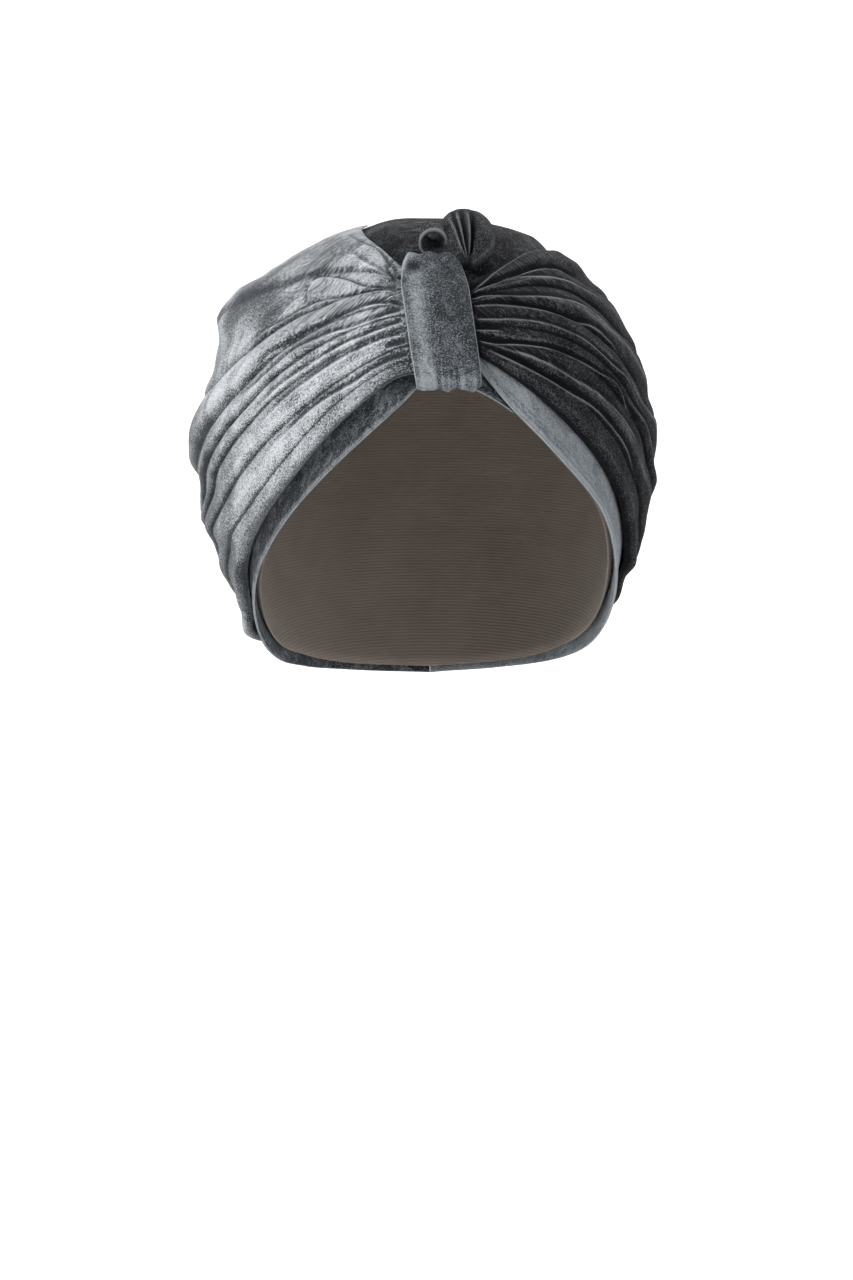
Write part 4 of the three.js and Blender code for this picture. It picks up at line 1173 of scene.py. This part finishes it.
def lobe_surface(lobe, rows, columns):
    """Outer and inner grids of the puffed gather, pleated like a fan from its root."""
    along = np.linspace(0, 1, rows)[:, None]
    side = np.linspace(-1, 1, columns)[None, :]
    swell = np.sin(np.pi * mix(0, 0.84, along**0.7))
    half = mix(lobe.root_half_width, lobe.half_width, swell)
    # Near its root the gather is narrower on the left, where the rolled fold stands.
    uneven = 0.1 * (1 - smooth_step(0.2, 0.45, along))
    x = mix(lobe.root[0], lobe.tip[0], along**0.75) + side * half * (1 - uneven * (1 - 2 * side) / 2)
    y = mix(lobe.root[1], lobe.tip[1], along - 0.12 * along * side * side)
    length = np.sin(np.pi * mix(0.1, 0.98, along**0.75)) ** 0.6
    width = np.clip(1 - np.abs(side) ** 2.2, 0, 1) ** 0.5
    bend = side + 0.12 * np.sin(along * 4.5 + side * 3) * along
    fine = np.linspace(-1.1, 1.1, 500)
    heights = np.interp(fine, PUFF_PLEATS[:, 0], PUFF_PLEATS[:, 1])
    kernel = np.hanning(19) / np.hanning(19).sum()
    heights = np.convolve(np.pad(heights, 9, mode="edge"), kernel, mode="valid")
    share = np.interp(bend, fine, heights)
    fade = (1 - smooth_step(0.22, 0.66, along)) * 0.92 + 0.08
    lift = lobe.rim + lobe.height * mix(1, share, fade) * length * width
    lift += 0.25 * drift(side * 5, along * 6, 1.3) * length * width
    thin = 0.025 + 0.04 * (1 - along)
    # Painted highlights on the pleat edges and painted shade in the pleat hollows.
    edge = sum(shine * np.exp(-(((bend - place) / thin) ** 2)) for place, shine in PUFF_EDGES)
    edge = edge * (1 - smooth_step(0.3, 0.62, along))
    hollow = sum(np.exp(-(((bend - place) / 0.06) ** 2)) for place in PUFF_HOLLOWS)
    hollow = hollow * (1 - smooth_step(0.55, 0.9, along))
    tone_and_painted_light = 0.1 * smooth_step(0.1, 0.7, side) + 0.03
    marks = {"edge": edge * width, "hollow": hollow * width, "tone_and_painted_light": tone_and_painted_light}
    return crown_point(x, y, lift), crown_point(x, y, np.zeros_like(lift)), marks


def roll_surface(roll, rows, columns):
    """Outer and inner grids of a rolled strip of cloth that stands on the crown and opens to the front."""
    turn = np.radians(np.linspace(100, 100 - roll.turn, columns))[None, :]
    along = np.linspace(0, 1, rows)[:, None]
    share = (turn[0, 0] - turn) / math.radians(roll.turn)
    taper = mix(0.8, 1, np.cos(along * math.pi / 2) ** 0.5)
    radius = mix(roll.start_radius, roll.end_radius, share) * taper
    y = mix(roll.front, roll.back, along) + 0 * turn
    floor = crown_point(roll.x + 0 * y, y, 0 * y)
    flare = 0.18 * np.cos(turn * 3) * (1 - along)

    def at(reach):
        x = roll.x + np.sin(turn) * reach
        z = floor[..., 2] + roll.rise + roll.wall + np.cos(turn) * reach * 0.92
        return np.stack(np.broadcast_arrays(x, y + flare, z), -1)

    # A painted highlight on the roll's front end.
    edge = 0.7 * np.exp(-((along / 0.1) ** 2)) * np.ones_like(share)
    return at(radius), at(radius - roll.wall), {"edge": edge, "tone_and_painted_light": 0.12 + 0 * share}


class TURBAN_OT_gathers(bpy.types.Operator):
    """Makes the puffed gather and the small rolled fold on the crown"""

    bl_idname = "turban.gathers"
    bl_label = "Make the puffed gathers"

    def execute(self, context):
        finish = velvet("gather velvet", finish_for("charcoal"))
        outer, inner, marks = lobe_surface(PUFF, 120, 220)
        piece = cloth_wall("puff_velvet", outer, inner, marks)
        dress(piece, finish, "crown_puff")
        outer, inner, marks = roll_surface(CURL, 40, 160)
        piece = cloth_wall("curl_velvet", outer, inner, marks)
        dress(piece, finish, "puff_curl")
        return {"FINISHED"}


def area_light(name, place, target, size, power, tint):
    """A soft lamp that faces its target."""
    light = bpy.data.lights.new(name, "AREA")
    light.shape = "RECTANGLE"
    light.size, light.size_y = size
    light.energy = power
    light.color = tint
    lamp = bpy.data.objects.new(name, light)
    bpy.context.scene.collection.objects.link(lamp)
    lamp.location = place
    way = np.array(target) - np.array(place)
    flat = math.hypot(way[0], way[1])
    lamp.rotation_euler = (math.pi / 2 + math.atan2(way[2], flat), 0, math.atan2(-way[0], way[1]))


def studio_floor(drop):
    """A round floor that curves up into a wall all round and is open at the top."""
    bpy.ops.object.select_all(action="DESELECT")
    bpy.ops.mesh.primitive_cylinder_add(
        vertices=128, radius=WALL_RADIUS, depth=WALL_HEIGHT, end_fill_type="NGON",
        location=(0, 0, WALL_HEIGHT / 2 - drop))
    floor = bpy.context.active_object
    floor.name = "floor"
    bpy.ops.object.mode_set(mode="EDIT")
    bpy.ops.mesh.select_all(action="DESELECT")
    bpy.ops.object.mode_set(mode="OBJECT")
    for face in floor.data.polygons:
        face.select = face.normal.z > 0.9
    bpy.ops.object.mode_set(mode="EDIT")
    bpy.ops.mesh.delete(type="FACE")
    bpy.ops.mesh.select_all(action="DESELECT")
    bpy.ops.object.mode_set(mode="OBJECT")
    verts = floor.data.vertices
    for edge in floor.data.edges:
        edge.select = all(verts[v].co.z < 0.1 - WALL_HEIGHT / 2 for v in edge.vertices)
    bpy.ops.object.mode_set(mode="EDIT")
    bpy.ops.mesh.bevel(offset=WALL_BEND, segments=20, affect="EDGES")
    bpy.ops.mesh.select_all(action="SELECT")
    bpy.ops.mesh.normals_make_consistent(inside=True)
    bpy.ops.object.mode_set(mode="OBJECT")
    bpy.ops.object.transform_apply(location=True, rotation=True, scale=True)
    bpy.ops.object.shade_smooth()
    return floor


def floor_paint(glow):
    """A pale, faintly cloudy paint that looks paler still to the camera alone."""
    paint, tree, shader = new_material("pale floor")
    shader.inputs["Roughness"].default_value = 0.9
    place = add_node(tree, "ShaderNodeTexCoord", (-500, 0))
    grain = noise(tree, place.outputs["Object"], 3, 3, 0, (-300, 0))
    pale = colour_mix(tree, grain, (0.78, 0.77, 0.76), (0.82, 0.81, 0.8), (0, 0))
    wire(tree, pale, shader.inputs["Base Color"])
    sight = add_node(tree, "ShaderNodeLightPath", (-300, -300))
    glow = value_math(tree, "MULTIPLY", sight.outputs["Is Camera Ray"], glow, (0, -300))
    wire(tree, pale, shader.inputs["Emission Color"])
    wire(tree, glow, shader.inputs["Emission Strength"])
    return paint


def place_camera(scene, sizes):
    """The camera, turned so that the turban's middle stands where it does in the frame."""
    lens = bpy.data.cameras.new("camera")
    lens.sensor_width = SENSOR
    lens.lens = sizes.lens
    lens.clip_start, lens.clip_end = 0.01, 50
    camera = bpy.data.objects.new("camera", lens)
    scene.collection.objects.link(camera)
    reach, rise = sizes.camera_distance, sizes.camera_rise
    pixels = sizes.lens / SENSOR * FRAME_SIZE[1]
    tip = math.atan((FRAME_SIZE[1] / 2 - MIDDLE_IN_FRAME[1]) / pixels)
    swing = math.atan((MIDDLE_IN_FRAME[0] - FRAME_SIZE[0] / 2) / pixels)
    camera.location = (0, -reach * math.cos(rise), MIDDLE_HEIGHT + reach * math.sin(rise))
    camera.rotation_euler = (math.pi / 2 - rise - tip, 0, swing)
    scene.camera = camera


class TURBAN_OT_stage(bpy.types.Operator):
    """Makes the pale floor, the soft lights and the camera"""

    bl_idname = "turban.stage"
    bl_label = "Make the stage"

    def execute(self, context):
        sizes = context.scene.turban_sizes
        floor = studio_floor(sizes.floor_drop)
        floor.data.materials.append(floor_paint(sizes.backdrop_glow))
        world = bpy.data.worlds.new("soft studio")
        context.scene.world = world
        world.use_nodes = True
        world.node_tree.nodes["Background"].inputs["Color"].default_value = (0.95, 0.97, 1, 1)
        world.node_tree.nodes["Background"].inputs["Strength"].default_value = 0.42
        middle, fill, white = (0, 0, -0.09), sizes.fill_power, (1, 1, 1)
        lamps = (
            ("key light", (-0.95, -0.75, 0.85), middle, (0.7, 0.7), sizes.key_power, (1, 0.99, 0.97)),
            ("fill light", (0.9, -1.1, 0.35), middle, (1, 1), fill, (0.95, 0.97, 1)),
            ("backdrop light", (0, 1.2, 1.9), (0, 3.4, 0.35), (2.4, 0.8), sizes.backdrop_power, white),
            ("rim light", (0.7, 1.1, 0.9), middle, (0.9, 0.6), fill * 1.6, white),
            ("back left light", (-0.9, 1, 0.6), middle, (0.9, 0.6), fill * 1.2, white),
        )
        for lamp in lamps:
            area_light(*lamp)
        place_camera(context.scene, sizes)
        context.scene.view_settings.view_transform = "Standard"
        return {"FINISHED"}


class TURBAN_PT_panel(bpy.types.Panel):
    """Lists the turban's settings and steps"""

    bl_label = "Turban"
    bl_idname = "TURBAN_PT_panel"
    bl_space_type = "VIEW_3D"
    bl_region_type = "UI"
    bl_category = "Turban"

    def draw(self, context):
        for group in (context.scene.turban_colours, context.scene.turban_sizes):
            for name in group.__annotations__:
                self.layout.prop(group, name)
        for step in STEPS:
            self.layout.operator(step.bl_idname)


STEPS = (
    TURBAN_OT_lining, TURBAN_OT_crown, TURBAN_OT_hems, TURBAN_OT_wraps, TURBAN_OT_band, TURBAN_OT_gathers,
    TURBAN_OT_stage,
)
CLASSES = (TurbanColours, TurbanSizes, *STEPS, TURBAN_PT_panel)


def register():
    for item in CLASSES:
        bpy.utils.register_class(item)
    bpy.types.Scene.turban_colours = PointerProperty(type=TurbanColours)
    bpy.types.Scene.turban_sizes = PointerProperty(type=TurbanSizes)


def unregister():
    del bpy.types.Scene.turban_sizes
    del bpy.types.Scene.turban_colours
    for item in reversed(CLASSES):
        bpy.utils.unregister_class(item)


def main():
    register()
    bpy.ops.turban.lining()
    bpy.ops.turban.crown()
    bpy.ops.turban.hems()
    bpy.ops.turban.wraps()
    bpy.ops.turban.band()
    bpy.ops.turban.gathers()
    bpy.ops.turban.stage()


if __name__ == "__main__":
    main()
